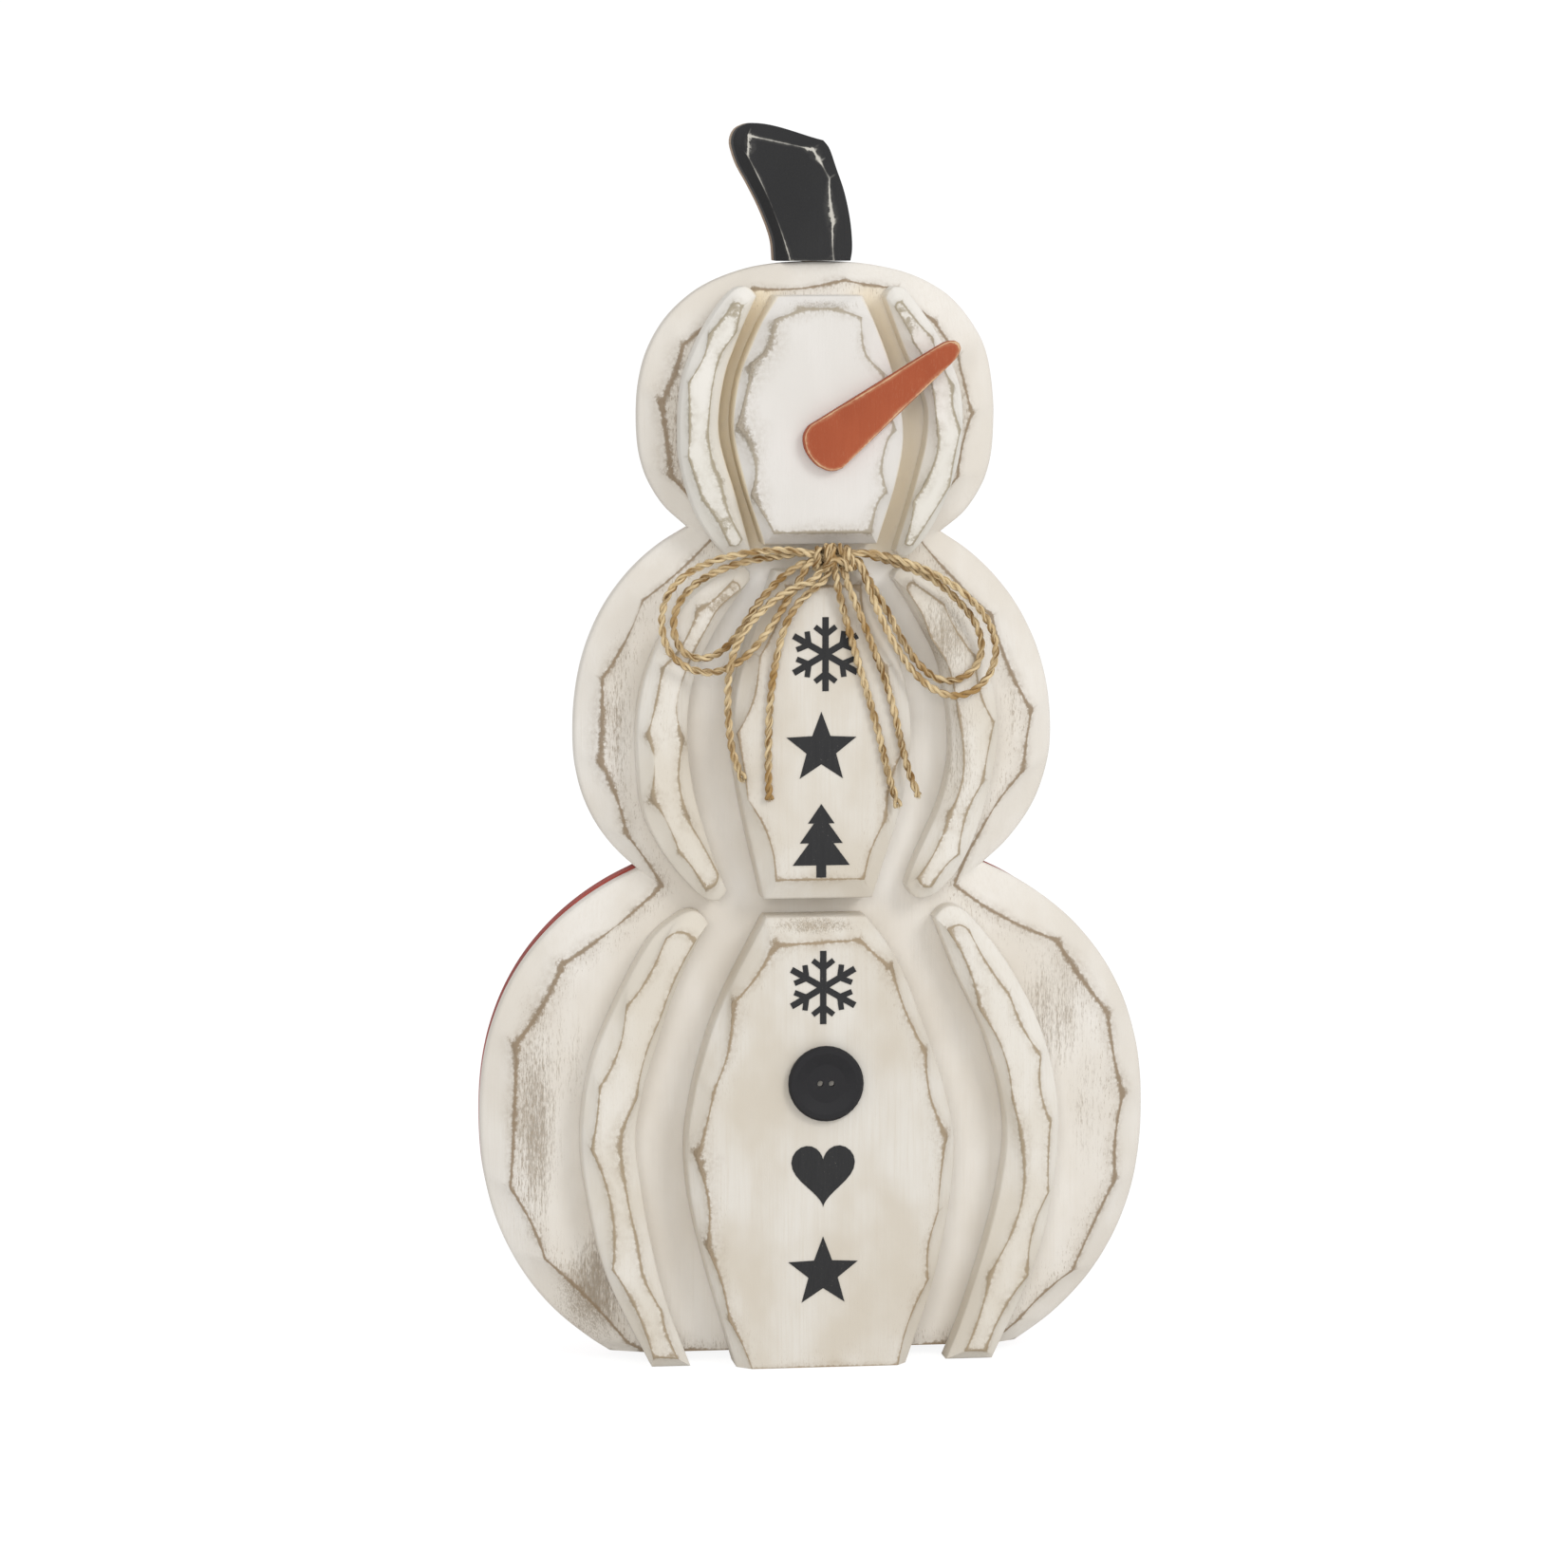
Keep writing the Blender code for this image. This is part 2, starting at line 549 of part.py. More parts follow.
def add_brads(label, made):
    """One headed brad for each applied piece, and the hole that it sits in."""
    side = SIDES[label]
    brad = [
        (BRAD_HEAD_RADIUS, 0), (BRAD_HEAD_RADIUS, BRAD_HEAD), (BRAD_RADIUS, BRAD_HEAD),
        (BRAD_RADIUS, BRAD_LENGTH - WIRE_TIP), (BRAD_RADIUS * TIP_SHARE, BRAD_LENGTH),
    ]
    wide, slim = BRAD_HEAD_RADIUS + CLEARANCE, BRAD_RADIUS + CLEARANCE
    hole = [
        (wide, -OVERSHOOT), (wide, BRAD_HEAD + CLEARANCE), (slim, BRAD_HEAD + CLEARANCE),
        (slim, BRAD_LENGTH + CLEARANCE),
    ]
    for key, (across, up) in BRAD_AT.items():
        place = facing(across, up, BOARD_BACK + GAP, side)
        turned(f"{label}_{key}_brad", brad, WIRE_SIDES, place, STEEL)
        cutter = make_cutter(f"{label}_{key}_brad_hole", hole, WIRE_SIDES, place)
        cut((made["board"], made[key]), cutter)


def add_dowel(name, length, place, things):
    """A dowel with broken ends, and the round hole it sits in."""
    half = length / 2
    turned(f"{name}_dowel", [
        (DOWEL_RADIUS - DOWEL_CHAMFER, -half), (DOWEL_RADIUS, DOWEL_CHAMFER - half),
        (DOWEL_RADIUS, half - DOWEL_CHAMFER), (DOWEL_RADIUS - DOWEL_CHAMFER, half),
    ], DOWEL_SIDES, place, BARE_WOOD)
    wide, deep = DOWEL_RADIUS + CLEARANCE, half + CLEARANCE
    hole = [(wide, -deep), (wide, deep)]
    cut(things, make_cutter(f"{name}_dowel_hole", hole, DOWEL_SIDES, place))


def add_board_dowels(front, back):
    """Two dowels that line the boards up across the glue line."""
    for key, (across, up) in BOARD_DOWELS_AT.items():
        add_dowel(
            f"{key}_board", BOARD_DOWEL_LENGTH, facing(across, up, 0),
            (front["board"], back["board"]),
        )


def add_stem_dowel(label, made, lobes):
    """The upright dowel that holds a stem half on top of the head."""
    top = lobes["head"].middle + lobes["head"].up
    place = standing(STEM_DOWEL_X, top, STEM_DOWEL_HEIGHT, SIDES[label])
    add_dowel(f"{label}_stem", STEM_DOWEL_LENGTH, place, (made["board"], made["stem"]))


def add_nose():
    """The flat carrot cut-out, with its edge broken all round."""
    half = smooth_curve(NOSE_HALF, 3)
    outline = [Vector((0, 0)), *half, Vector((NOSE_LENGTH, 0))]
    outline += [Vector((p.x, -p.y)) for p in half[::-1]]
    middle = Vector((NOSE_LENGTH / 2, 0))
    edge = [p - (p - middle).normalized() * NOSE_CUT for p in outline]
    turn = Matrix.Rotation(NOSE_TILT, 2)
    end = Vector(NOSE_END)
    rings = (
        (outline, NOSE_BACK), (outline, NOSE_FACE - NOSE_CUT), (edge, NOSE_FACE),
    )
    shape = bmesh.new()
    loops = []
    for ring, height in rings:
        places = [end + turn @ p for p in ring]
        loops.append([shape.verts.new(point(p.x, p.y, height)) for p in places])
    shape.faces.new(loops[0])
    shape.faces.new(loops[-1])
    for lower, upper in zip(loops, loops[1:]):
        for i in range(len(lower)):
            j = (i + 1) % len(lower)
            shape.faces.new((lower[i], lower[j], upper[j], upper[i]))
    smooth_shade(add_mesh("carrot_nose", shape, CARROT))


def add_button():
    """A two-hole button whose face is hollowed towards the holes."""
    across, up = BUTTON_AT
    height = PANEL_FACE + GAP
    profile = [
        (BUTTON_RADIUS - BUTTON_EDGE, 0), (BUTTON_RADIUS, BUTTON_EDGE),
        (BUTTON_RADIUS, BUTTON_THICK - BUTTON_EDGE),
        (BUTTON_RADIUS - BUTTON_EDGE, BUTTON_THICK), (BUTTON_RADIUS - BUTTON_RIM, BUTTON_THICK),
        (BUTTON_RADIUS - BUTTON_HOLLOW, BUTTON_THICK - BUTTON_DISH),
    ]
    button = turned("coat_button", profile, BUTTON_SIDES, facing(across, up, height), BLACK)
    hole = [(HOLE_RADIUS, -OVERSHOOT), (HOLE_RADIUS, BUTTON_THICK + OVERSHOOT)]
    for label, offset in (("left", -HOLE_SPACING / 2), ("right", HOLE_SPACING / 2)):
        place = facing(across + offset, up, height)
        cut((button,), make_cutter(f"button_{label}_hole", hole, HOLE_SIDES, place))


def add_tube(name, places, radius, look):
    """A round cord through the given places, in metres, with closed ends."""
    curve = bpy.data.curves.new(name, "CURVE")
    curve.dimensions = "3D"
    curve.bevel_depth = radius * MM
    curve.bevel_resolution = 2
    curve.use_fill_caps = True
    spline = curve.splines.new("POLY")
    spline.points.add(len(places) - 1)
    for spot, place in zip(spline.points, places):
        spot.co = (*place, 1.0)
    cord = bpy.data.objects.new(name, curve)
    bpy.context.collection.objects.link(cord)
    finish(cord, look)
    return cord


def add_bow(board):
    """The knot, the eight free stretches of twine, and the pin behind the knot."""
    across, up = KNOT_AT
    half_x, half_y, half_z = KNOT_HALF
    knot = bmesh.new()
    bmesh.ops.create_uvsphere(knot, u_segments=KNOT_SIDES, v_segments=KNOT_ROWS, radius=1.0)
    for vertex in knot.verts:
        # Blunt ends, so that the strands meet the knot face to face.
        vertex.co.x = math.copysign(abs(vertex.co.x) ** KNOT_BLUNTNESS, vertex.co.x)
        vertex.co = Vector((vertex.co.x * half_x, vertex.co.y * half_y, vertex.co.z * half_z)) * MM
    knot_object = add_mesh("bow_knot", knot, JUTE)
    knot_object.location = point(across, up, KNOT_HEIGHT)
    smooth_shade(knot_object)
    for key, route in BOW_ROUTES.items():
        curve = smooth_curve([(x, z, h) for x, z, h in route])
        count = math.ceil(distances(curve)[-1] / ROUTE_STEP)
        steps = at_shares(curve, [i / count for i in range(count + 1)])
        add_tube(f"bow_{key}", [point(*step) for step in steps], TWINE / 2, JUTE)
    pin_face = KNOT_HEIGHT - half_y - GAP
    place = facing(across, up, 0)
    tip = BOARD_FACE - PIN_DEPTH_IN_BOARD
    profile = [
        (PIN_RADIUS * TIP_SHARE, tip), (PIN_RADIUS, tip + WIRE_TIP),
        (PIN_RADIUS, pin_face - PIN_HEAD),
        (PIN_HEAD_RADIUS, pin_face - PIN_HEAD), (PIN_HEAD_RADIUS, pin_face),
    ]
    turned("bow_pin", profile, WIRE_SIDES, place, STEEL)
    wide = PIN_RADIUS + CLEARANCE
    hole = [(wide, tip - CLEARANCE), (wide, BOARD_FACE + OVERSHOOT)]
    cut((board,), make_cutter("bow_pin_hole", hole, WIRE_SIDES, place))


front_side = make_side("front", FRONT_LOBES, CREAM, BLACK)
back_side = make_side("back", BACK_LOBES, BRICK, TAN)
add_brads("front", front_side)
add_brads("back", back_side)
add_board_dowels(front_side, back_side)
add_stem_dowel("front", front_side, FRONT_LOBES)
add_stem_dowel("back", back_side, BACK_LOBES)
add_nose()
add_button()
add_bow(front_side["board"])
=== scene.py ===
"""Looks for the wooden snowman: whittled and rubbed paint, black motifs and a twisted twine bow.

Sizes are in millimetres. X runs to the right seen from the front, Z runs up, and a height is
measured from the glue line between the two boards towards the front or the back.
"""

import math
import random

import bmesh
import bpy
import numpy as np
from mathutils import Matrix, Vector, noise
from mathutils.geometry import delaunay_2d_cdt

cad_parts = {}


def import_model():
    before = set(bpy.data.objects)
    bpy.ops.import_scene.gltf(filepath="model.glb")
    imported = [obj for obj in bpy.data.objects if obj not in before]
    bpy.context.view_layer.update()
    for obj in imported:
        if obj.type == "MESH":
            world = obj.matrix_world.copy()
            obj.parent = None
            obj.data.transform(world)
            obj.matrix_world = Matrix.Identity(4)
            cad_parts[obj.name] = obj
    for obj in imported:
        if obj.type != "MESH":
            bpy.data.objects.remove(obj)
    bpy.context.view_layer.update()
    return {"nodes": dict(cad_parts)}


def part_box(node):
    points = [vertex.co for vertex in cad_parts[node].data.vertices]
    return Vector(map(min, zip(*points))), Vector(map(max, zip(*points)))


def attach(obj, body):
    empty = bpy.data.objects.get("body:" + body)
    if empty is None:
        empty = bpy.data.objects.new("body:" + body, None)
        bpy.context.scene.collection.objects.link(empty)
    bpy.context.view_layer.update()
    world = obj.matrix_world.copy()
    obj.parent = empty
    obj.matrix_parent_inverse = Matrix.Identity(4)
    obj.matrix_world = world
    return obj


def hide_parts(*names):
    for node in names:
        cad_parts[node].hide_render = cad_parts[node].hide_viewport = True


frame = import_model()

MM = 0.001
FRONT, BACK = 1, -1

glue_y = (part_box("front_board")[1].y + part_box("back_board")[0].y) / 2 / MM
random.seed(24)


def add_object(name, data, material=None):
    """A new object in the scene, all of one material."""
    thing = bpy.data.objects.new(name, data)
    bpy.context.collection.objects.link(thing)
    if material:
        data.materials.append(material)
    return thing


# ---------------------------------------------------------------- camera

CAMERA_TURN = math.radians(-8)
CAMERA_DISTANCE = 3000.0
EYE_HEIGHT = 600.0
AIM = (-15.7, -18.0, 285.2)
SENSOR_MM, LENS_MM = 36.0, 140.5


def add_camera():
    camera_data = bpy.data.cameras.new("photo_camera")
    camera_data.sensor_width = SENSOR_MM
    camera_data.lens = LENS_MM
    camera = add_object("photo_camera", camera_data)
    away = Vector((math.sin(CAMERA_TURN), -math.cos(CAMERA_TURN), 0)) * CAMERA_DISTANCE
    place = Vector((away.x, away.y + glue_y, EYE_HEIGHT)) * MM
    aim = Vector((AIM[0], AIM[1] + glue_y, AIM[2])) * MM
    camera.location = place
    camera.rotation_euler = (aim - place).to_track_quat("-Z", "Y").to_euler()
    bpy.context.scene.camera = camera


# ---------------------------------------------------------------- lines and curves


def world(across, up, height, side=FRONT):
    """A place on one side of the glue line, as a vector in metres."""
    return Vector((across, glue_y - side * height, up)) * MM


def between(before, start, end, after, t):
    """A point of the Catmull-Rom curve from start to end."""
    return 0.5 * (
        2 * start + (end - before) * t
        + (2 * before - 5 * start + 4 * end - after) * t ** 2
        + (3 * start - before - 3 * end + after) * t ** 3
    )


def smooth_curve(points, spans):
    """A Catmull-Rom curve through an open row of points."""
    row = [Vector(p) for p in points]
    row = [2 * row[0] - row[1], *row, 2 * row[-1] - row[-2]]
    curve = []
    for before, start, end, after in zip(row, row[1:], row[2:], row[3:]):
        curve += [between(before, start, end, after, i / spans) for i in range(spans)]
    return [*curve, row[-2]]


def length_of(points):
    return sum((end - start).length for start, end in zip(points, points[1:]))


def even_steps(points, step):
    """Points spaced evenly along a line, about a step apart."""
    total = length_of(points)
    count = max(2, round(total / step))
    places = [points[0]]
    walked = 0.0
    for start, end in zip(points, points[1:]):
        stretch = (end - start).length
        while len(places) < count and walked + stretch >= len(places) * total / count:
            t = (len(places) * total / count - walked) / stretch
            places.append(start.lerp(end, t))
        walked += stretch
    return [*places, points[-1]]


# ---------------------------------------------------------------- twine bow

TWINE = 3.6
PLY_TWIST = 11.0  # length of one full turn of the two plies
PLY_RADIUS, PLY_SIDES, PLY_STREAK = TWINE * 0.275, 9, 0.9
TWINE_STEP = 0.8  # spacing of the points along a strand
FRAY_LENGTH, FRAY_FIBRES = 5.0, 26  # how far a cut end opens, and its loose fibres
FIBRES_PER_MM, KNOT_FIBRES_PER_MM = 1.9, 2.6
KNOT_CENTRE = Vector((4.5, glue_y - 48.3, 398.0))
WRAP_POINTS = 40
HIDDEN_SHARE = 0.45  # how far a strand goes on towards the middle of the knot
# Each route: (across, up, height above the glue line), read as one smooth curve.
BOW_ROUTES = {
    "left_outer_loop": [
        (-7.8, 400.3, 50.3), (-14, 401.6, 50.5), (-24, 402.0, 50.5), (-40, 400.5, 49.7),
        (-56, 396.2, 47.7), (-69, 389.0, 46.7), (-77, 378.5, 46.3), (-79, 365.5, 46.3),
        (-75.5, 353.5, 46.3), (-67, 345.6, 46.4), (-56.5, 343.0, 46.6), (-46.5, 345.2, 47.1),
        (-36.5, 352.5, 48.7), (-27.0, 364.5, 50.4), (-18.0, 378.5, 50.7), (-12.0, 388.5, 50.5),
        (-7.8, 395.6, 50.3),
    ],
    "left_inner_loop": [
        (-7.8, 400.3, 46.4), (-14, 400.0, 46.6), (-24, 398.6, 46.6), (-38, 396.4, 45.8),
        (-52, 391.6, 43.8), (-64, 384.0, 42.6), (-71.5, 373.5, 42.3), (-72.5, 361.5, 42.3),
        (-67.5, 352.2, 42.3), (-58.5, 349.4, 42.5), (-49.0, 353.4, 43.0), (-41.0, 362.5, 44.4),
        (-33.0, 375.0, 46.3), (-23.0, 386.5, 46.8), (-14.0, 393.4, 46.6), (-7.8, 396.0, 46.4),
    ],
    "right_outer_loop": [
        (16.8, 400.3, 50.3), (24, 400.0, 50.5), (34, 397.6, 50.3), (50, 391.5, 49.1),
        (66, 382.0, 47.5), (78, 370.0, 46.5), (84, 356.5, 46.3), (82.5, 343.0, 46.3),
        (74.5, 333.2, 46.3), (64.0, 330.2, 46.4), (53.0, 334.0, 46.8), (42.5, 343.5, 48.1),
        (33.5, 357.0, 49.9), (26.5, 371.0, 50.6), (21.0, 384.0, 50.6), (16.8, 395.2, 50.3),
    ],
    "right_inner_loop": [
        (16.8, 400.3, 46.4), (24, 398.4, 46.6), (36, 394.4, 46.2), (52, 387.6, 44.6),
        (65, 377.4, 43.0), (75, 365.0, 42.4), (78, 352.5, 42.3), (74, 342.6, 42.3),
        (65.0, 337.4, 42.4), (55.5, 338.6, 42.7), (46.5, 346.0, 43.6), (38.5, 357.5, 45.2),
        (31.5, 370.5, 46.6), (24.5, 382.5, 46.8), (19.8, 390.2, 46.6), (16.8, 396.0, 46.4),
    ],
    "left_long_tail": [
        (-4.0, 389.9, 52.2), (-7.0, 387.2, 53.8), (-13.2, 384.8, 54.6), (-22.0, 380.6, 54.6),
        (-31.0, 373.4, 53.8), (-39.0, 364.0, 52.6), (-44.5, 353.5, 51.8), (-47.0, 342.0, 50.9),
        (-47.3, 330.0, 48.8), (-46.6, 318.0, 46.4), (-45.0, 306.0, 45.6), (-42.0, 296.0, 45.8),
        (-39.4, 290.5, 46.6),
    ],
    "left_short_tail": [
        (1.0, 389.9, 49.6), (-1.8, 386.2, 50.2), (-8.6, 381.0, 51.8), (-15.0, 374.4, 52.6),
        (-19.5, 365.5, 50.8), (-22.5, 354.0, 48.4), (-25.0, 340.0, 46.9), (-26.6, 324.0, 46.6),
        (-27.2, 308.0, 46.6), (-27.2, 293.0, 46.6), (-26.8, 281.0, 46.8),
    ],
    "right_short_tail": [
        (5.2, 389.9, 50.6), (5.9, 385.4, 50.4), (8.2, 376.0, 49.0), (11.4, 365.0, 47.6),
        (15.2, 352.0, 46.8), (19.4, 338.0, 46.6), (23.6, 324.0, 46.6), (27.6, 309.0, 46.6),
        (31.4, 293.0, 46.6), (36.4, 276.5, 46.8),
    ],
    "right_long_tail": [
        (9.6, 389.9, 50.6), (11.2, 385.0, 50.4), (15.0, 376.0, 49.2), (19.6, 365.0, 48.0),
        (24.8, 352.0, 47.2), (30.0, 338.0, 46.8), (34.4, 323.0, 46.6), (38.0, 307.0, 46.5),
        (41.6, 294.0, 46.2), (46.4, 281.5, 46.0),
    ],
}


def frames_along(line):
    """Two directions square to a line at each of its points, carried along without twisting."""
    tangents = []
    for i in range(len(line)):
        tangents.append((line[min(i + 1, len(line) - 1)] - line[max(i - 1, 0)]).normalized())
    side = tangents[0].orthogonal().normalized()
    pairs = []
    for tangent in tangents:
        side = (side - side.dot(tangent) * tangent).normalized()
        pairs.append((side, tangent.cross(side)))
    return pairs


def add_ring_tube(shape, line, radii, sides, tone, layer, streak=0.0):
    """A tube with its own radius at each point; every vertex keeps a tone for the material.

    streak is how much the tone differs between the fibres that run along the tube.
    """
    rings = []
    for i, (point, (right, up), radius) in enumerate(zip(line, frames_along(line), radii)):
        ring = []
        for k in range(sides):
            turn = 2 * math.pi * k / sides
            vertex = shape.verts.new(
                (point + (right * math.cos(turn) + up * math.sin(turn)) * radius) * MM
            )
            vertex[layer] = tone + streak * noise.noise(Vector((k * 1.9, i / 8, tone * 50)))
            ring.append(vertex)
        rings.append(ring)
    for lower, upper in zip(rings, rings[1:]):
        for k in range(sides):
            n = (k + 1) % sides
            shape.faces.new((lower[k], lower[n], upper[n], upper[k]))
    shape.faces.new(rings[0][::-1])
    shape.faces.new(rings[-1])


def add_plies(shape, line, layer, loose_end=False):
    """Two plies of jute wound round each other along a line, in millimetres."""
    turn = random.uniform(0, 2 * math.pi)
    pairs = frames_along(line)
    walked = [0.0]
    for start, end in zip(line, line[1:]):
        walked.append(walked[-1] + (end - start).length)
    for ply in range(2):
        centre, radii = [], []
        seed = random.uniform(0, 100)
        for point, (right, up), along in zip(line, pairs, walked):
            slack = 0.9 * noise.noise(Vector((along / 12, turn, 0)))
            angle = turn + math.pi * ply + 2 * math.pi * along / PLY_TWIST + slack
            spread = PLY_RADIUS * 0.95
            if loose_end:
                spread *= 1 + 0.5 * max(0.0, 1 - (walked[-1] - along) / FRAY_LENGTH)
            centre.append(point + (right * math.cos(angle) + up * math.sin(angle)) * spread)
            radii.append(PLY_RADIUS * (1 + 0.22 * noise.noise(Vector((along / 2.2, seed, 0)))))
        tone = 0.5 + 0.3 * noise.noise(Vector((seed, 0, 0)))
        add_ring_tube(shape, centre, radii, PLY_SIDES, tone, layer, PLY_STREAK)


def add_fibres(shape, line, layer, per_mm):
    """Short stray fibres that stand off a line of twine."""
    pairs = frames_along(line)
    for _ in range(int(length_of(line) * per_mm)):
        i = random.randrange(1, len(line) - 1)
        right, up = pairs[i]
        along = (line[i + 1] - line[i - 1]).normalized() * random.choice((-1, 1))
        angle = random.uniform(0, 2 * math.pi)
        out = right * math.cos(angle) + up * math.sin(angle)
        root = line[i] + out * TWINE * 0.42
        reach = random.uniform(1.0, 3.4)
        lift = random.uniform(0.12, 0.6)
        middle = root + along * reach * 0.5 + out * reach * lift * 0.4
        tip = root + along * reach * 0.9 + out * reach * lift
        add_ring_tube(shape, [root, middle, tip], [0.07, 0.06, 0.03], 3,
                      random.uniform(0.5, 1.0), layer)


def twine_object(name, lines, loose_ends, per_mm=FIBRES_PER_MM):
    """Strands of twine with their stray fibres, as one piece."""
    shape = bmesh.new()
    layer = shape.verts.layers.float.new("tone")
    for line, loose in zip(lines, loose_ends):
        add_plies(shape, line, layer, loose)
        add_fibres(shape, line, layer, per_mm)
        if loose:
            add_frayed_end(shape, line, layer)
    bmesh.ops.recalc_face_normals(shape, faces=shape.faces)
    mesh = bpy.data.meshes.new(name)
    shape.to_mesh(mesh)
    shape.free()
    mesh.shade_smooth()
    return add_object(name, mesh, jute_material())


def add_frayed_end(shape, line, layer):
    """The brush of loose fibres at a cut end."""
    tip, onward = line[-1], (line[-1] - line[-3]).normalized()
    right, up = frames_along(line)[-1]
    for _ in range(FRAY_FIBRES):
        angle, off = random.uniform(0, 2 * math.pi), random.uniform(0, 1.1)
        out = right * math.cos(angle) + up * math.sin(angle)
        root = tip - onward * 1.2 + out * off
        reach = random.uniform(1.2, 3.0)
        middle = root + onward * reach * 0.6 + out * reach * 0.1
        end = root + onward * reach + out * reach * random.uniform(0.1, 0.35)
        add_ring_tube(shape, [root, middle, end], [0.14, 0.11, 0.05], 3,
                      random.uniform(0.5, 1.0), layer)


def add_bow():
    """The eight free stretches of twine, and the knot they leave."""
    add_knot()
    for key, route in BOW_ROUTES.items():
        loose = key.endswith("tail")
        places = [Vector((x, glue_y - h, z)) for x, z, h in route]
        # The strand is drawn on a little way, to where the wraps of the knot hide it.
        places.insert(0, places[0].lerp(KNOT_CENTRE, HIDDEN_SHARE))
        if not loose:
            places.append(places[-1].lerp(KNOT_CENTRE, HIDDEN_SHARE))
        curve = smooth_curve(places, 24)
        line = even_steps(curve, TWINE_STEP)
        strand = twine_object(f"twine_{key}", [line], [loose])
        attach(strand, "root")
        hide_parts(f"bow_{key}")


def add_knot():
    """Wraps of twine pulled tight round the strands of the bow."""
    lines = []
    # Each wrap: place along the bow, half height, half depth, lean and slant.
    wraps = [
        (-8.2, 4.6, 4.0, 0.16, 0.5), (-4.2, 5.4, 4.5, 0.10, -0.6), (-0.1, 5.6, 4.6, -0.10, 0.7),
        (4.0, 5.5, 4.6, -0.26, -0.6), (8.0, 4.6, 4.0, -0.34, 0.5),
    ]
    for across, tall, deep, lean, slant in wraps:
        ring = []
        for k in range(WRAP_POINTS + 1):
            turn = 2 * math.pi * k / WRAP_POINTS
            ring.append(KNOT_CENTRE + Vector((
                across + slant * math.sin(turn) + lean * tall * math.cos(turn),
                deep * math.sin(turn),
                tall * math.cos(turn),
            )))
        lines.append(ring)
    core = [Vector((x, 0.4 * math.sin(x), 0.6 * math.cos(x))) for x in range(-10, 11)]
    lines.append([KNOT_CENTRE + p for p in core])
    over = smooth_curve([
        KNOT_CENTRE + Vector(p) for p in (
            (-4.6, -3.6, -5.4), (-3.0, -4.9, -3.0), (0.2, -5.2, -0.6), (3.6, -5.1, -1.6),
            (6.2, -4.6, -4.4), (7.4, -3.2, -6.0),
        )
    ], 10)
    lines.append(even_steps(over, TWINE_STEP))
    knot = twine_object("twine_knot", lines, [False] * len(lines), KNOT_FIBRES_PER_MM)
    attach(knot, "root")
    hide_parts("bow_knot")


# ---------------------------------------------------------------- material helpers


def srgb(red, green, blue):
    """A linear colour from screen values of 0 to 255."""
    def linear(value):
        share = value / 255
        return share / 12.92 if share <= 0.04045 else ((share + 0.055) / 1.055) ** 2.4
    return (linear(red), linear(green), linear(blue), 1.0)


class Nodes:
    """A short way to write a material's node tree."""

    def __init__(self, name):
        self.material = bpy.data.materials.new(name)
        self.material.use_nodes = True
        self.tree = self.material.node_tree
        self.shader = self.tree.nodes["Principled BSDF"]
        self.position = self.tree.nodes.new("ShaderNodeTexCoord").outputs["Object"]

    def feed(self, socket, value):
        if isinstance(value, bpy.types.NodeSocket):
            self.tree.links.new(value, socket)
        else:
            socket.default_value = value

    def math(self, operation, *values, clamp=False):
        node = self.tree.nodes.new("ShaderNodeMath")
        node.operation = operation
        node.use_clamp = clamp
        for socket, value in zip(node.inputs, values):
            self.feed(socket, value)
        return node.outputs[0]

    def attribute(self, name):
        node = self.tree.nodes.new("ShaderNodeAttribute")
        node.attribute_name = name
        return node.outputs["Fac"]

    def noise(self, size, stretch=(1, 1, 1), detail=4.0, roughness=0.55, offset=0.0):
        """Noise whose features are about size millimetres across, longer along stretched axes."""
        mapping = self.tree.nodes.new("ShaderNodeMapping")
        mapping.inputs["Scale"].default_value = [1 / (size * MM * s) for s in stretch]
        mapping.inputs["Location"].default_value = (offset, offset * 1.7, offset * 0.6)
        self.feed(mapping.inputs["Vector"], self.position)
        node = self.tree.nodes.new("ShaderNodeTexNoise")
        node.inputs["Scale"].default_value = 1.0
        node.inputs["Detail"].default_value = detail
        node.inputs["Roughness"].default_value = roughness
        self.feed(node.inputs["Vector"], mapping.outputs[0])
        return node.outputs["Fac"]

    def step(self, value, low, high):
        """0 below low, 1 above high, smooth between."""
        node = self.tree.nodes.new("ShaderNodeMapRange")
        node.interpolation_type = "SMOOTHSTEP"
        self.feed(node.inputs["Value"], value)
        self.feed(node.inputs["From Min"], low)
        self.feed(node.inputs["From Max"], high)
        return node.outputs["Result"]

    def mix(self, share, first, second):
        node = self.tree.nodes.new("ShaderNodeMix")
        node.data_type = "RGBA"
        self.feed(node.inputs["Factor"], share)
        self.feed(node.inputs[6], first)
        self.feed(node.inputs[7], second)
        return node.outputs[2]

    def finish(self, colour, roughness, height, depth_mm, metallic=0.0, specular=0.35):
        self.feed(self.shader.inputs["Base Color"], colour)
        self.feed(self.shader.inputs["Roughness"], roughness)
        self.shader.inputs["Metallic"].default_value = metallic
        self.shader.inputs["Specular IOR Level"].default_value = specular
        if height is not None:
            bump = self.tree.nodes.new("ShaderNodeBump")
            bump.inputs["Distance"].default_value = depth_mm * MM
            self.feed(bump.inputs["Height"], height)
            self.feed(self.shader.inputs["Normal"], bump.outputs[0])
        return self.material


made_materials = {}


def once(builder):
    """Build each material the first time it is asked for."""
    def wrapped(*arguments):
        key = (builder.__name__, arguments)
        if key not in made_materials:
            made_materials[key] = builder(*arguments)
        return made_materials[key]
    return wrapped


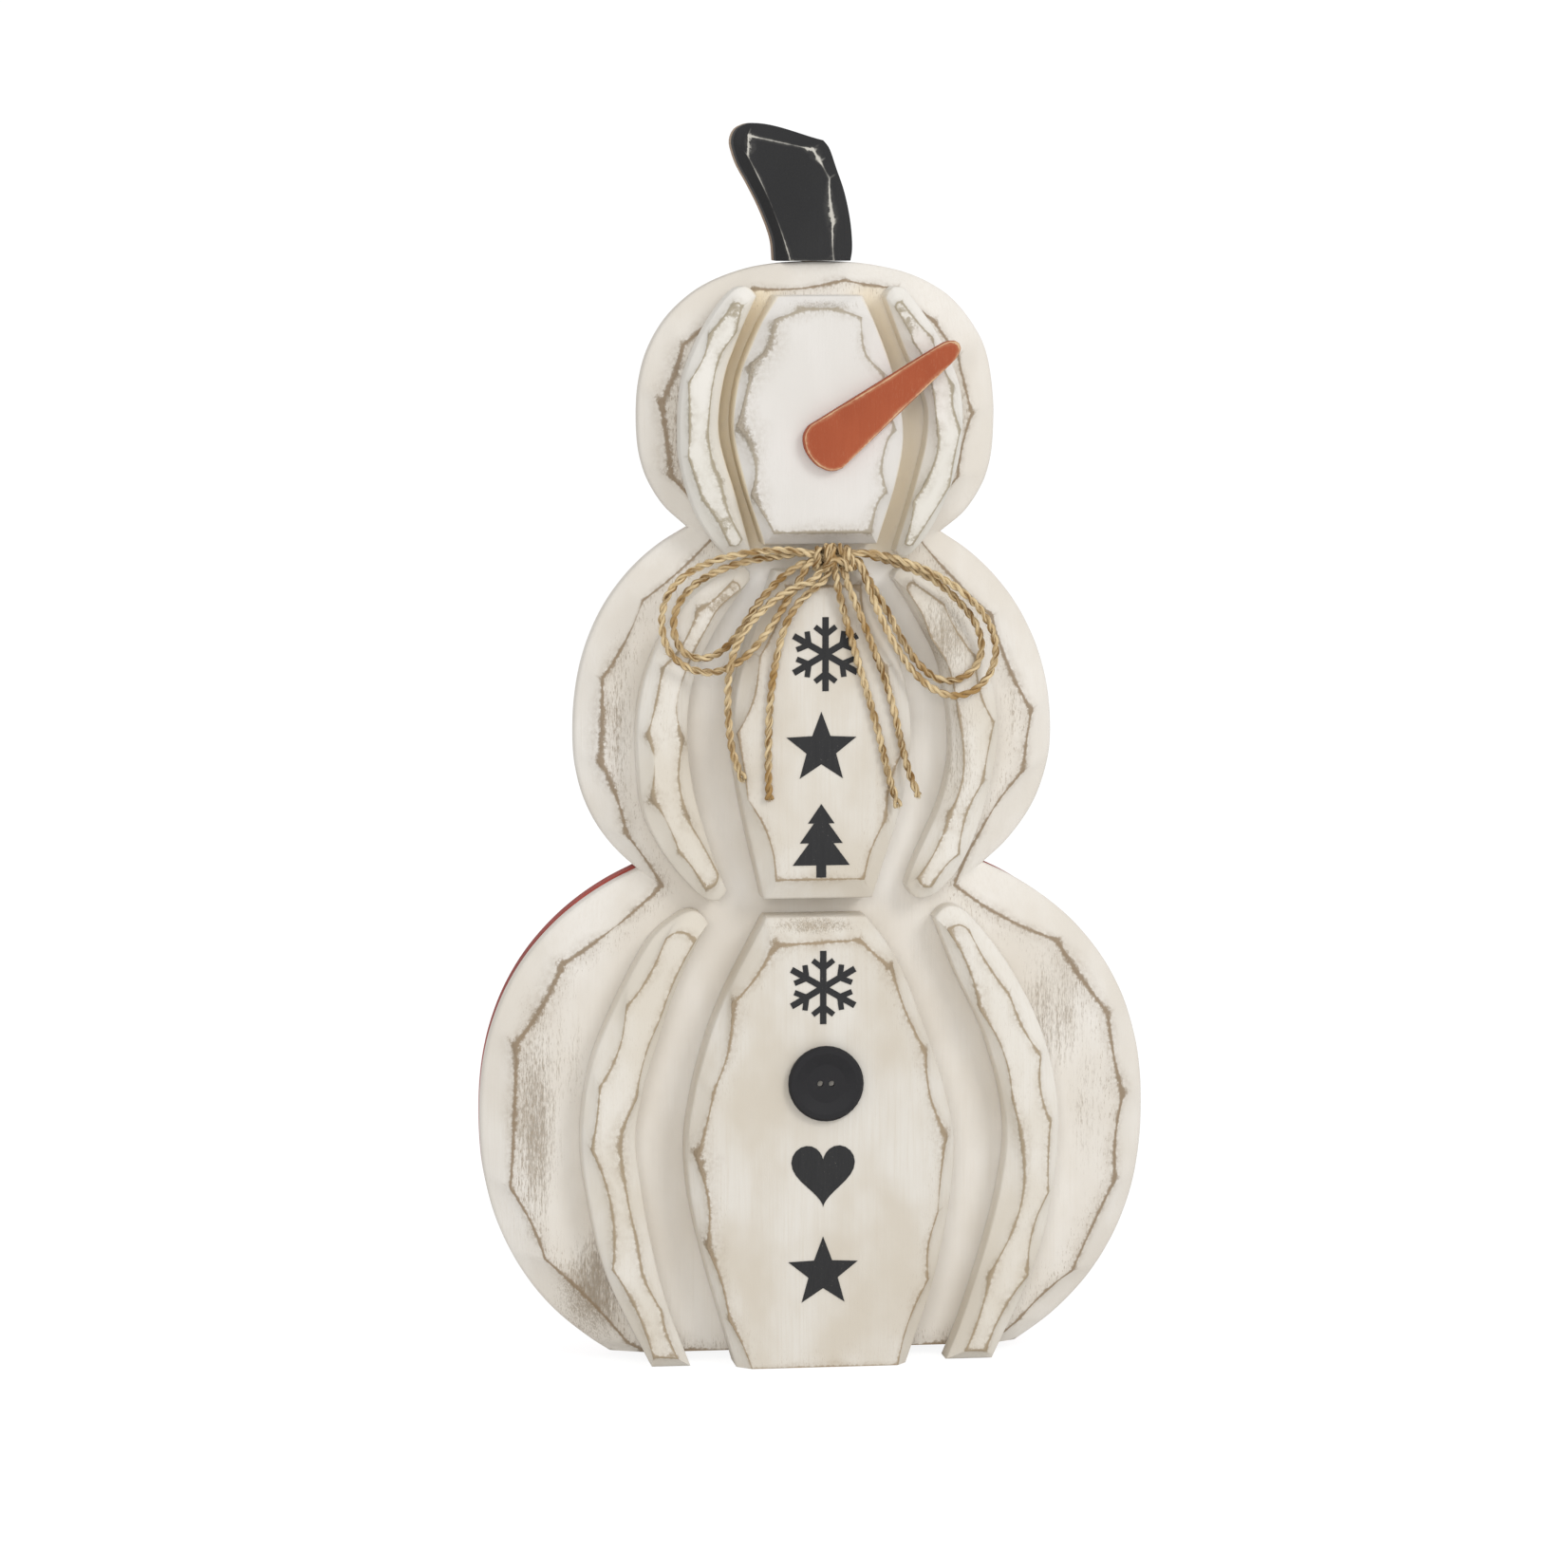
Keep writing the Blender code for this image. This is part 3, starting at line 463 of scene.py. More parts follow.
@once
def jute_material():
    nodes = Nodes("jute_twine")
    strands = nodes.noise(0.35, (1, 1, 1), 5, 0.7)
    patches = nodes.noise(18.0, (1, 1, 1), 3)
    value = nodes.math("MULTIPLY_ADD", nodes.attribute("tone"), 0.6, nodes.math(
        "MULTIPLY", strands, 0.4))
    colour = nodes.mix(nodes.step(value, 0.25, 0.68), srgb(126, 94, 54), srgb(230, 208, 166))
    colour = nodes.mix(nodes.step(patches, 0.45, 0.75), colour, srgb(170, 134, 82))
    return nodes.finish(colour, 0.9, strands, 0.25, specular=0.15)


# Paints: fresh colour, second tone, rubbed colour, strength of the hairy marks inside an edge.
PAINTS = {
    "head_white": (srgb(229, 225, 220), srgb(223, 219, 213), srgb(166, 154, 134), 0.25),
    "cream": (srgb(226, 221, 212), srgb(212, 203, 188), srgb(156, 135, 106), 0.35),
    "rib_white": (srgb(235, 231, 224), srgb(227, 223, 214), srgb(160, 148, 124), 0.05),
    "rib_cream": (srgb(232, 227, 218), srgb(220, 212, 198), srgb(160, 141, 113), 0.25),
    "board_cream": (srgb(234, 229, 221), srgb(224, 217, 206), srgb(142, 121, 94), 0.85),
    "brick": (srgb(176, 80, 70), srgb(150, 62, 52), srgb(200, 164, 128), 0.3),
    "stem_black": (srgb(40, 40, 41), srgb(33, 33, 34), srgb(212, 208, 198), 0.0),
    "stem_tan": (srgb(172, 150, 128), srgb(150, 126, 102), srgb(208, 192, 164), 0.1),
    "carrot": (srgb(172, 85, 50), srgb(160, 75, 42), srgb(222, 190, 150), 0.1),
}
BARE_GREY = srgb(130, 117, 99)  # weathered wood between the bristle strokes
GLAZE_AND_SHADE_YELLOW = srgb(240, 226, 198)  # yellowed glaze in the channels of the head, with painted shade: the khaki of those narrow shaded channels
PAINTED_LIGHT_WHITE = srgb(251, 249, 246)  # painted light: the channels of the middle and base painted whiter, so the shade in them shows less
DARK_RUB = srgb(96, 78, 56)  # wood rubbed bare for long
RIDGE_STRENGTH = 0.4  # of the rubbed lines along the ridges


@once
def paint_material(key):
    """Brushed matt paint, rubbed through along the whittled edges.

    rim is the distance in millimetres outwards from the whittled edge, so below nought on the
    face, wear how wide the rubbed line is, ridge the distance from the nearest ridge between two
    knife cuts, dry how thin the paint was brushed on and glaze_shade_light how much yellow glaze
    and painted shade lie in a channel, which below nought is how much painted light lies there.
    """
    fresh, second, rubbed, hairy = PAINTS[key]
    nodes = Nodes(f"{key}_paint")
    inwards = nodes.math("MULTIPLY", nodes.attribute("rim"), -1.0)
    rim = nodes.math("ABSOLUTE", inwards)
    wear = nodes.attribute("wear")
    ridge = nodes.attribute("ridge")
    dry = nodes.attribute("dry")
    glaze_shade_light = nodes.attribute("glaze_shade_light")

    clouds = nodes.noise(45, (1, 1, 1.6), 3)
    streaks = nodes.noise(1.3, (1, 1, 30), 5, 0.62)
    fine_streaks = nodes.noise(0.5, (1, 1, 6), 5, 0.68, 3.1)
    grain = nodes.noise(0.9, (1, 1, 1), 6, 0.7)
    ragged = nodes.noise(2.4, (1, 1, 1), 5, 0.65, 7.7)
    broken = nodes.noise(11.0, (1, 1, 1), 3, 0.5, 5.2)

    colour = nodes.mix(nodes.step(clouds, 0.35, 0.65), fresh, second)
    faint = nodes.math("MULTIPLY", nodes.step(streaks, 0.42, 0.75), 0.45)
    colour = nodes.mix(faint, colour, second)

    # Brown glaze that stays along the edges; in the channels, yellow glaze with painted shade, and
    # painted light as whiter paint.
    halo = nodes.math("SUBTRACT", 1.0, nodes.step(rim, 0.0, nodes.math("MULTIPLY", wear, 9.0)))
    glaze = nodes.math("MULTIPLY", halo, nodes.step(ragged, 0.2, 0.8))
    glaze = nodes.math("MULTIPLY", glaze, 0.1 if key == "stem_black" else 0.42)
    colour = nodes.mix(glaze, colour, rubbed)
    # Painted shade with the yellow glaze in the head's channels; painted light, whiter paint, in
    # those of the middle and base.
    colour = nodes.mix(nodes.math("MULTIPLY", glaze_shade_light, 0.9, clamp=True), colour, GLAZE_AND_SHADE_YELLOW)
    colour = nodes.mix(nodes.math("MULTIPLY", glaze_shade_light, -1.0, clamp=True), colour, PAINTED_LIGHT_WHITE)

    # Dry-brushed patches, where the wood shows between the bristle strokes.
    gate = nodes.math("SUBTRACT", 1.0, dry)
    bristle = nodes.math("ADD", nodes.math("MULTIPLY", streaks, 0.3),
                         nodes.math("MULTIPLY", fine_streaks, 0.7))
    bare = nodes.step(bristle, nodes.math("MULTIPLY", gate, 0.7),
                      nodes.math("MULTIPLY_ADD", gate, 0.7, 0.26))
    bare = nodes.math("MULTIPLY", bare, nodes.step(dry, 0.02, 0.35))
    colour = nodes.mix(nodes.math("MULTIPLY", bare, 0.7), colour, nodes.mix(
        nodes.step(grain, 0.35, 0.65), rubbed, BARE_GREY))

    # Short hairy marks just inside the whittled edge.
    marks = nodes.math(
        "MULTIPLY", nodes.step(fine_streaks, 0.55, 0.66), nodes.step(inwards, 0.2, 1.5))
    marks = nodes.math("MULTIPLY", marks, nodes.math(
        "SUBTRACT", 1.0, nodes.step(inwards, 2.0, nodes.math("MULTIPLY_ADD", broken, 30.0, -2.0))))
    colour = nodes.mix(nodes.math("MULTIPLY", marks, 0.75 * hairy), colour, rubbed)

    # The rubbed line along the whittled edge, wider where two knife cuts meet.
    cusp = nodes.math("SUBTRACT", 1.0, nodes.step(ridge, 0.0, 6.0))
    uneven = nodes.math("MULTIPLY_ADD", grain, 1.6, nodes.math("MULTIPLY_ADD", ragged, 4.6, -1.8))
    width = nodes.math("MULTIPLY", wear, nodes.math("MAXIMUM", uneven, 0.15))
    width = nodes.math("MULTIPLY", width, nodes.math("MULTIPLY_ADD", cusp, 1.3, 1.0))
    line = nodes.math("SUBTRACT", 1.0, nodes.step(
        rim, nodes.math("MULTIPLY", width, 0.3), nodes.math("MULTIPLY_ADD", width, 1.35, 0.15)))
    line = nodes.math("MULTIPLY", line, nodes.step(wear, 0.05, 0.3))
    # Fainter lines run a little way out along the ridges.
    ridge_line = nodes.math("SUBTRACT", 1.0, nodes.step(ridge, 0.2, 1.1))
    ridge_line = nodes.math("MULTIPLY", ridge_line, nodes.step(broken, 0.42, 0.6))
    ridge_line = nodes.math("MULTIPLY", ridge_line, nodes.math(
        "SUBTRACT", RIDGE_STRENGTH, nodes.math(
            "MULTIPLY", nodes.step(rim, 1.0, 6.0), RIDGE_STRENGTH)))
    rub = nodes.math("MAXIMUM", line, ridge_line)
    darker = nodes.math("MULTIPLY", nodes.step(wear, 0.9, 1.9), 0.5)
    colour = nodes.mix(nodes.math("MULTIPLY", rub, 0.86), colour, nodes.mix(
        nodes.step(grain, 0.3, 0.7), rubbed, nodes.mix(darker, rubbed, DARK_RUB)))

    height = nodes.math("ADD", nodes.math("MULTIPLY", streaks, 0.5),
                        nodes.math("MULTIPLY", fine_streaks, 0.35))
    height = nodes.math("MULTIPLY_ADD", grain, 0.25, height)
    height = nodes.math("MULTIPLY_ADD", rub, -0.12, height)
    roughness = nodes.math("MULTIPLY_ADD", grain, 0.25, 0.55)
    return nodes.finish(colour, roughness, height, 0.16)


@once
def motif_material():
    nodes = Nodes("motif_black")
    grain = nodes.noise(0.8, (1, 1, 1), 6, 0.7)
    streaks = nodes.noise(1.2, (1, 1, 14), 4, 0.6)
    worn = nodes.math("MULTIPLY", nodes.step(grain, 0.62, 0.7), nodes.step(streaks, 0.5, 0.62))
    colour = nodes.mix(streaks, srgb(36, 36, 37), srgb(48, 48, 49))
    colour = nodes.mix(nodes.math("MULTIPLY", worn, 0.8), colour, srgb(190, 182, 170))
    return nodes.finish(colour, 0.7, streaks, 0.1)


@once
def button_material():
    nodes = Nodes("button_black")
    clouds = nodes.noise(7, (1, 1, 1), 3)
    grain = nodes.noise(0.5, (1, 1, 1), 4)
    colour = nodes.mix(clouds, srgb(34, 34, 36), srgb(42, 41, 43))
    roughness = nodes.math("MULTIPLY_ADD", clouds, 0.2, 0.5)
    return nodes.finish(colour, roughness, grain, 0.03, specular=0.25)


@once
def steel_material():
    nodes = Nodes("steel_wire")
    drawn = nodes.noise(0.4, (1, 12, 1), 4)
    colour = nodes.mix(drawn, srgb(150, 150, 150), srgb(196, 196, 194))
    return nodes.finish(colour, 0.35, drawn, 0.02, metallic=1.0)


@once
def dowel_material():
    nodes = Nodes("bare_dowel")
    grain = nodes.noise(0.7, (1, 1, 12), 5, 0.6)
    colour = nodes.mix(grain, srgb(190, 152, 104), srgb(224, 194, 148))
    return nodes.finish(colour, 0.8, grain, 0.1)


# ---------------------------------------------------------------- whittled pieces

COLUMN = 3.0  # spacing of the columns round a piece
EDGE_SOFT = 0.7  # how wide each sanded edge is rounded
NO_RIDGE, NO_EDGE = 9.0, 20.0  # distances given where no ridge or whittled edge is near
CORNER_TURN = 32  # a sharper turn than this, in degrees, is a corner of the outline
RIDGE_TURN, NOTCH_TURN = 4, -45  # turns of an edge between two knife cuts, out and in
SHARP_EDGE = 55  # edges sharper than this, in degrees, are not shaded smooth
CUT_SHARES = (0.10, 0.28, 0.5, 0.72, 0.9)  # where the rows of points lie across a cut
FACE_WAVE = 0.10  # how uneven a face is
ROUND_END_STEP = 5.0  # points closer than this belong to the round end of a rib

# Places where much paint is rubbed off: across, up, reach, extra width.
BOARD_WEAR = [
    (-137, 180, 34, 0.9), (-150, 130, 34, 0.1), (-70, 480, 24, 1.1), (-74, 445, 18, 0.9),
    (-105, 308, 30, 1.1), (133, 190, 26, 0.6), (-122, 34, 24, 0.5), (104, 300, 24, 0.4),
    (68, 459, 8, 0.5), (65, 243, 8, 0.9), (99, 337, 10, 0.4), (97, 298, 8, 0.6),
    (-72, 8, 14, 1.8), (66, 8, 10, 1.3), (122, 70, 20, 0.4), (146, 140, 30, 0.3),
]
CARVED_WEAR = [
    (-42, 462, 9, 1.8), (-35, 491, 8, 1.4), (-35, 430, 9, 1.4), (-28, 505, 8, 1.0),
    (-62, 105, 8, 1.5), (61, 113, 8, 0.9), (-45, 180, 7, 0.8), (34, 197, 7, 0.9),
    (-24, 210, 8, 0.8), (57, 60, 6, 0.6), (51, 155, 7, 0.6), (-56, 62, 7, 1.2),
    (-46, 24, 6, 0.5), (-70, 310, 5, 1.7), (-66, 273, 4.5, 1.3), (-86, 310, 5, 0.9),
    (-84, 280, 6, 1.2), (-56, 241, 5, 1.2), (-64, 374, 8, 0.8), (66, 320, 6, 0.9),
    (59, 271, 8, 0.8),
    (-99, 108, 12, 0.5), (100, 106, 12, 0.6), (-57, 4, 7, 1.4), (52, 4, 7, 1.2),
    (-33, 597, 4, 0.7), (9, 565, 12, 0.4), (0, 592, 5, 0.5),
]
# Thinly brushed places on the front: across, up, half width, half height, strength.
DRY_PATCHES = {
    "front_board": [
        (-139, 120, 13, 62, 0.58), (-122, 150, 14, 40, 0.35), (-110, 36, 20, 30, 0.62),
        (118, 170, 22, 40, 0.45), (136, 120, 12, 50, 0.35), (108, 40, 18, 28, 0.15),
        # The patch at (-97, 322) is strong: it darkens the board beside the middle lobe's left
        # rib.
        (-97, 322, 10, 46, 0.44), (96, 318, 9, 46, 0.34), (-66, 462, 8, 34, 0.45),
        (72, 470, 5, 30, 0.30), (-88, 190, 14, 24, 0.25),
    ],
    "front_middle_right_rib": [(60, 358, 16, 26, 0.55), (68, 300, 14, 55, 0.38)],
    "front_middle_left_rib": [(-78, 318, 5, 18, 0.3)],
    "front_head_centre_panel": [(0, 519, 22, 4, 0.5)],
    "front_base_centre_panel": [(-4, 218, 26, 5, 0.55), (-52, 70, 12, 60, 0.2)],
}
DEFAULT_DRY = 0.12
SHADE_LIGHT_REACH = 11.0  # how far from a channel's sides the glaze, painted shade and painted light fade out


def merged_shape(node):
    """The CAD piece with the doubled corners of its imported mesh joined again."""
    shape = bmesh.new()
    shape.from_mesh(frame["nodes"][node].data)
    bmesh.ops.remove_doubles(shape, verts=shape.verts, dist=2e-5)
    return shape


def level_loop(shape, level, side):
    """The longest loop of edges at one height, as (across, up) points, anticlockwise."""
    flat = [v for v in shape.verts if abs(side * (glue_y - v.co.y / MM) - level) < 0.02]
    chosen = set(flat)
    links = {v: [] for v in flat}
    for edge in shape.edges:
        first, second = edge.verts
        if first in chosen and second in chosen:
            inside = [all(v in chosen for v in face.verts) for face in edge.link_faces]
            if inside.count(True) != len(inside):
                links[first].append(second)
                links[second].append(first)
    best = []
    unused = {v for v in flat if links[v]}
    while unused:
        start = min(unused, key=lambda v: (len(links[v]), v.index))
        path = [start]
        unused.discard(start)
        while True:
            onward = [v for v in links[path[-1]] if v in unused]
            if not onward:
                break
            path.append(onward[0])
            unused.discard(onward[0])
        if len(path) > len(best):
            best = path
    points = [Vector((v.co.x, v.co.z)) / MM for v in best]
    area = sum(a.x * b.y - b.x * a.y for a, b in zip(points, points[1:] + points[:1]))
    return points if area > 0 else points[::-1]


def cad_loops(node, side):
    """A piece's levels (back, start of the cut, face), its outline and its whittled edge."""
    shape = merged_shape(node)
    levels = sorted({round(side * (glue_y - v.co.y / MM), 2) for v in shape.verts})
    face = levels[-1]
    edge = level_loop(shape, face, side)
    # A hole has a loop of its own, so the outline is the loop with as many points as the edge.
    for cut in reversed(levels[:-1]):
        outline = level_loop(shape, cut, side)
        if len(outline) == len(edge):
            break
    else:
        raise RuntimeError(f"{node}: no outline matches its whittled edge")
    shape.free()
    count = len(edge)

    def misfit(shift):
        return sum((outline[i] - edge[(i + shift) % count]).length for i in range(count))
    shift = min(range(count), key=misfit)
    edge = [edge[(i + shift) % count] for i in range(count)]
    return (levels[0], cut, face), outline, edge


def turns(loop):
    """How far the loop turns left at each of its points, in degrees."""
    angles = []
    for i, point in enumerate(loop):
        before, after = point - loop[i - 1], loop[(i + 1) % len(loop)] - point
        cross = before.x * after.y - before.y * after.x
        angles.append(math.degrees(math.atan2(cross, before.dot(after))))
    return angles


def refined(loop, corners, counts):
    """More points along a loop: smooth between its corners."""
    total = len(loop)
    dense = []
    for i in range(total):
        start, end = loop[i], loop[(i + 1) % total]
        run = (end - start).length
        before = 2 * start - end
        if not corners[i]:
            before = start + (loop[i - 1] - start).normalized() * run
        after = 2 * end - start
        if not corners[(i + 1) % total]:
            after = end + (loop[(i + 2) % total] - end).normalized() * run
        dense += [between(before, start, end, after, k / counts[i]) for k in range(counts[i])]
    return dense


def nearest_on(points, loop):
    """For each point, its distance to a closed loop and the loop's nearest point's number."""
    here = np.array([tuple(p) for p in points], float)
    start = np.array([tuple(p) for p in loop], float)
    run = np.roll(start, -1, axis=0) - start
    squared = (run ** 2).sum(1) + 1e-12
    distance = np.empty(len(here))
    number = np.empty(len(here), int)
    for i, p in enumerate(here):
        t = np.clip(((p - start) * run).sum(1) / squared, 0, 1)
        gap = np.hypot(*(start + run * t[:, None] - p).T)
        number[i] = gap.argmin()
        distance[i] = gap[number[i]]
    return distance, number


def wear_at(place, base, side, heavy):
    """How wide the rubbed line is at a place on a whittled edge."""
    wide = base * (0.75 + 0.9 * noise.noise(Vector((place.x / 14, place.y / 14, side * 3.3))))
    if side == FRONT:
        for across, up, reach, extra in heavy:
            near = ((place.x - across) ** 2 + (place.y - up) ** 2) / reach ** 2
            wide += extra * math.exp(-near)
    return max(0.0, wide)


def shade_light_at(places, near):
    """How much glaze and painted shade lie at each place, below nought painted light: most between
    two pieces that stand close together.
    """
    glaze_shade_light = np.zeros(len(places))
    for one_side, other_side, strength in near:
        squared = nearest_on(places, one_side)[0] ** 2 + nearest_on(places, other_side)[0] ** 2
        glaze_shade_light += strength * np.exp(-squared / SHADE_LIGHT_REACH ** 2)
    return glaze_shade_light


def dryness(node, place):
    """How thinly a place was painted."""
    most = DEFAULT_DRY
    for across, up, half_wide, half_tall, strength in DRY_PATCHES.get(node, ()):
        near = ((place.x - across) / half_wide) ** 2 + ((place.y - up) / half_tall) ** 2
        most = max(most, strength * math.exp(-near * 0.8))
    return most


class Piece:
    """The vertices, faces and paint values of one whittled piece."""

    def __init__(self, node, side):
        self.node, self.side = node, side
        self.verts, self.faces = [], []
        self.paint = {key: [] for key in ("rim", "wear", "ridge", "dry", "glaze_shade_light")}

    def add(self, place, height, rim, wear, ridge, glaze_shade_light=0.0):
        self.verts.append(world(place.x, place.y, height, self.side))
        for key, value in (
            ("rim", rim), ("wear", wear), ("ridge", ridge),
            ("dry", dryness(self.node, place)), ("glaze_shade_light", glaze_shade_light),
        ):
            self.paint[key].append(value)
        return len(self.verts) - 1

    def finish(self, name, material, slot):
        mesh = bpy.data.meshes.new(name)
        mesh.from_pydata(self.verts, [], self.faces)
        for key, values in self.paint.items():
            layer = mesh.attributes.new(key, "FLOAT", "POINT")
            layer.data.foreach_set("value", np.array(values, np.float32))
        shape = bmesh.new()
        shape.from_mesh(mesh)
        bmesh.ops.recalc_face_normals(shape, faces=shape.faces)
        shape.to_mesh(mesh)
        shape.free()
        mesh.shade_smooth()
        mesh.set_sharp_from_angle(angle=math.radians(SHARP_EDGE))
        thing = add_object(name, mesh, material)
        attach(thing, "root")
        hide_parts(self.node)


def edge_ridges(edge, round_ends):
    """Which points of a whittled edge are corners between two knife cuts."""
    ridges = []
    for i, turn in enumerate(turns(edge)):
        apart = max((edge[i] - edge[i - 1]).length, (edge[(i + 1) % len(edge)] - edge[i]).length)
        round_end = round_ends and apart < ROUND_END_STEP
        ridges.append((turn > RIDGE_TURN or turn < NOTCH_TURN) and not round_end)
    return ridges


def whittled(node, side, paint, slot, wear=0.45, scoop=0.7, grid=4.0, smooth=False,
             round_ends=False, near=()):
    """A painted, whittled piece in place of its CAD solid.

    near holds the channels, each with its strength of yellow glaze and painted shade, which
    below nought is painted light, on a board's face and on the sawn sides of the pieces along
    them.
    """
    (back, cut, face), outline, edge = cad_loops(node, side)
    outline_corners = [abs(turn) > CORNER_TURN for turn in turns(outline)]
    edge_corners = outline_corners if smooth else edge_ridges(edge, round_ends)
    total = len(edge)
    counts = []
    for i in range(total):
        n = (i + 1) % total
        longest = max((outline[i] - outline[n]).length, (edge[i] - edge[n]).length)
        counts.append(max(1, math.ceil(longest / COLUMN)))
    outer = refined(outline, outline_corners, counts)
    inner = refined(edge, edge_corners, counts)
    columns = len(outer)

    # Distance along the loop from each column to the nearest ridge between two cuts.
    starts = [sum(counts[:i]) for i in range(total) if edge_corners[i]]
    cuts = list(zip(starts, starts[1:] + [starts[0] + columns])) if starts else [(0, columns)]
    ridge, depth = [NO_RIDGE] * columns, [1.0] * columns
    for first, last in cuts:
        bite = 0.55 + 0.45 * noise.noise(Vector((first * 0.37, back, side)))
        for k in range(first, last):
            share = (k - first) / (last - first)
            arc = min(share, 1 - share) * (last - first) * COLUMN
            ridge[k % columns] = arc
            depth[k % columns] = bite * math.sin(math.pi * share) ** 0.6
    is_board = node.endswith("_board")
    heavy = BOARD_WEAR if is_board else CARVED_WEAR
    line_wear = [wear_at(p, wear, side, heavy) for p in inner]
    wall_shade_light = shade_light_at(outer, near)

    piece = Piece(node, side)
    fall = face - cut
    wall_top = cut - EDGE_SOFT
    # Rows from the glued back to the face: share across the cut, height.
    rows = [(0.0, back), (0.0, (back + wall_top) / 2), (0.0, wall_top), (0.025, cut)]
    rows += [(share, cut + fall * share) for share in CUT_SHARES]
    rows += [(0.985, face - 0.12)]
    rings = []
    for share, height in rows:
        on_cut = share >= CUT_SHARES[0]
        bend = 4 * share * (1 - share) if on_cut else 0.0
        ring = []
        for k in range(columns):
            place = outer[k].lerp(inner[k], share)
            inwards = inner[k] - outer[k]
            reach = inwards.length
            sunk = scoop * bend * depth[k]
            if reach > 1e-6:
                place = place + inwards / reach * sunk * 0.7
            rim = (1 - share) * math.hypot(reach, fall) if share > 0 else NO_EDGE
            ring.append(piece.add(
                place, height - sunk * 0.7, rim, line_wear[k], ridge[k] if on_cut else NO_RIDGE,
                # The sawn sides along a channel get the same glaze and painted shade, or painted
                # light.
                0.0 if on_cut else wall_shade_light[k],
            ))
        rings.append(ring)
    for lower, upper in zip(rings, rings[1:]):
        for k in range(columns):
            n = (k + 1) % columns
            piece.faces.append((lower[k], lower[n], upper[n], upper[k]))

    # The face: a ring just inside the edge, filled with a net of points.
    rimmed = []
    for k in range(columns):
        along = inner[(k + 1) % columns] - inner[k - 1]
        inwards = Vector((-along.y, along.x)).normalized()
        rimmed.append(inner[k] + inwards * EDGE_SOFT)
    face_near = near if is_board else ()
    fill(piece, rings[-1], rimmed, inner, line_wear, ridge, face, grid, face_near)
    close_back(piece, rings[0], outer)
    piece.finish(f"painted_{node}", paint_material(paint), slot)


def fill(piece, last_ring, rimmed, inner, line_wear, ridge, face, grid, near):
    """The face of a piece: a net of points inside its whittled edge."""
    xs, ys = [p.x for p in rimmed], [p.y for p in rimmed]
    inside = []
    rows_up = math.ceil((max(ys) - min(ys)) / grid)
    rows_across = math.ceil((max(xs) - min(xs)) / grid)
    for j in range(1, rows_up):
        for i in range(rows_across + 1):
            shift = 0.5 * grid * (j % 2)
            inside.append(Vector((min(xs) + i * grid + shift, min(ys) + j * grid)))
    gap, _ = nearest_on(inside, rimmed)
    kept = [p for p, g in zip(inside, gap) if g > 0.5 * grid and within(p, rimmed)]
    columns = len(rimmed)
    net = delaunay_2d_cdt(rimmed + kept, [], [list(range(columns))], 1, 1e-4)
    places, _, triangles, origins = net[0], net[1], net[2], net[3]
    distance, number = nearest_on(places, inner)
    glaze_shade_light = shade_light_at(places, near)
    index = []
    for k, place in enumerate(places):
        wave = FACE_WAVE * noise.noise(Vector((place.x / 17, place.y / 30, face)))
        index.append(piece.add(
            place, face + wave - FACE_WAVE, -distance[k], line_wear[number[k]],
            ridge[number[k]] + 1.5 * distance[k], glaze_shade_light[k]
        ))
    first_ring = {}
    for k, sources in enumerate(origins):
        for source in sources:
            if source < columns:
                first_ring[source] = index[k]
    for k in range(columns):
        n = (k + 1) % columns
        corners = [last_ring[k], last_ring[n], first_ring[n], first_ring[k]]
        if corners[2] != corners[3]:
            piece.faces.append(tuple(corners))
        else:
            piece.faces.append(tuple(corners[:3]))
    for triangle in triangles:
        piece.faces.append(tuple(index[v] for v in triangle))


def within(point, loop):
    """Whether a point lies inside a closed loop."""
    inside = False
    for a, b in zip(loop, loop[1:] + loop[:1]):
        if (a.y > point.y) != (b.y > point.y):
            if point.x < a.x + (point.y - a.y) * (b.x - a.x) / (b.y - a.y):
                inside = not inside
    return inside


def close_back(piece, ring, outline):
    """The flat glued back of a piece."""
    net = delaunay_2d_cdt(outline, [], [list(range(len(outline)))], 1, 1e-4)
    for triangle in net[2]:
        piece.faces.append(tuple(ring[net[3][v][0]] for v in triangle))


def outline_of(node, side):
    return cad_loops(node, side)[1]


# ---------------------------------------------------------------- motifs

# Painted where the original has letters: shape, across, up.
MOTIFS = [
    ("flake", 1, 351), ("star", -1, 306), ("tree", -1, 260), ("flake", 0, 188),
    ("heart", 0, 95), ("star", 0, 48),
]
MOTIF_THICK, MOTIF_SINK = 0.25, 0.05  # thickness of the paint, and how far it sinks in
NECK_HEIGHT = 235  # where the base and the middle lobe meet


def star_shape(points=5, outer=18.0, inner=7.6):
    loop = []
    for k in range(2 * points):
        reach = outer if k % 2 == 0 else inner
        turn = math.pi / 2 + math.pi * k / points
        loop.append((reach * math.cos(turn), reach * math.sin(turn) - 1.0))
    return [loop]


def heart_shape(count=40):
    loop = []
    for k in range(count):
        t = 2 * math.pi * k / count
        x = 16 * math.sin(t) ** 3
        y = 13 * math.cos(t) - 5 * math.cos(2 * t) - 2 * math.cos(3 * t) - math.cos(4 * t)
        loop.append((-x * 0.98, y * 1.05 + 2.5))
    return [loop]


def tree_shape():
    half = [(0, 18), (6.5, 8.5), (3.6, 8.5), (10.5, -1.2), (6.0, -1.2), (14.0, -12), (2.4, -12),
            (2.4, -18)]
    return [[(-x, y) for x, y in half] + half[:0:-1]]


def bar(start, end, wide):
    """A straight stroke with square ends."""
    start, end = Vector(start), Vector(end)
    run = (end - start).normalized()
    off = Vector((-run.y, run.x)) * wide / 2
    return [tuple(start + off), tuple(start - off), tuple(end - off), tuple(end + off)]


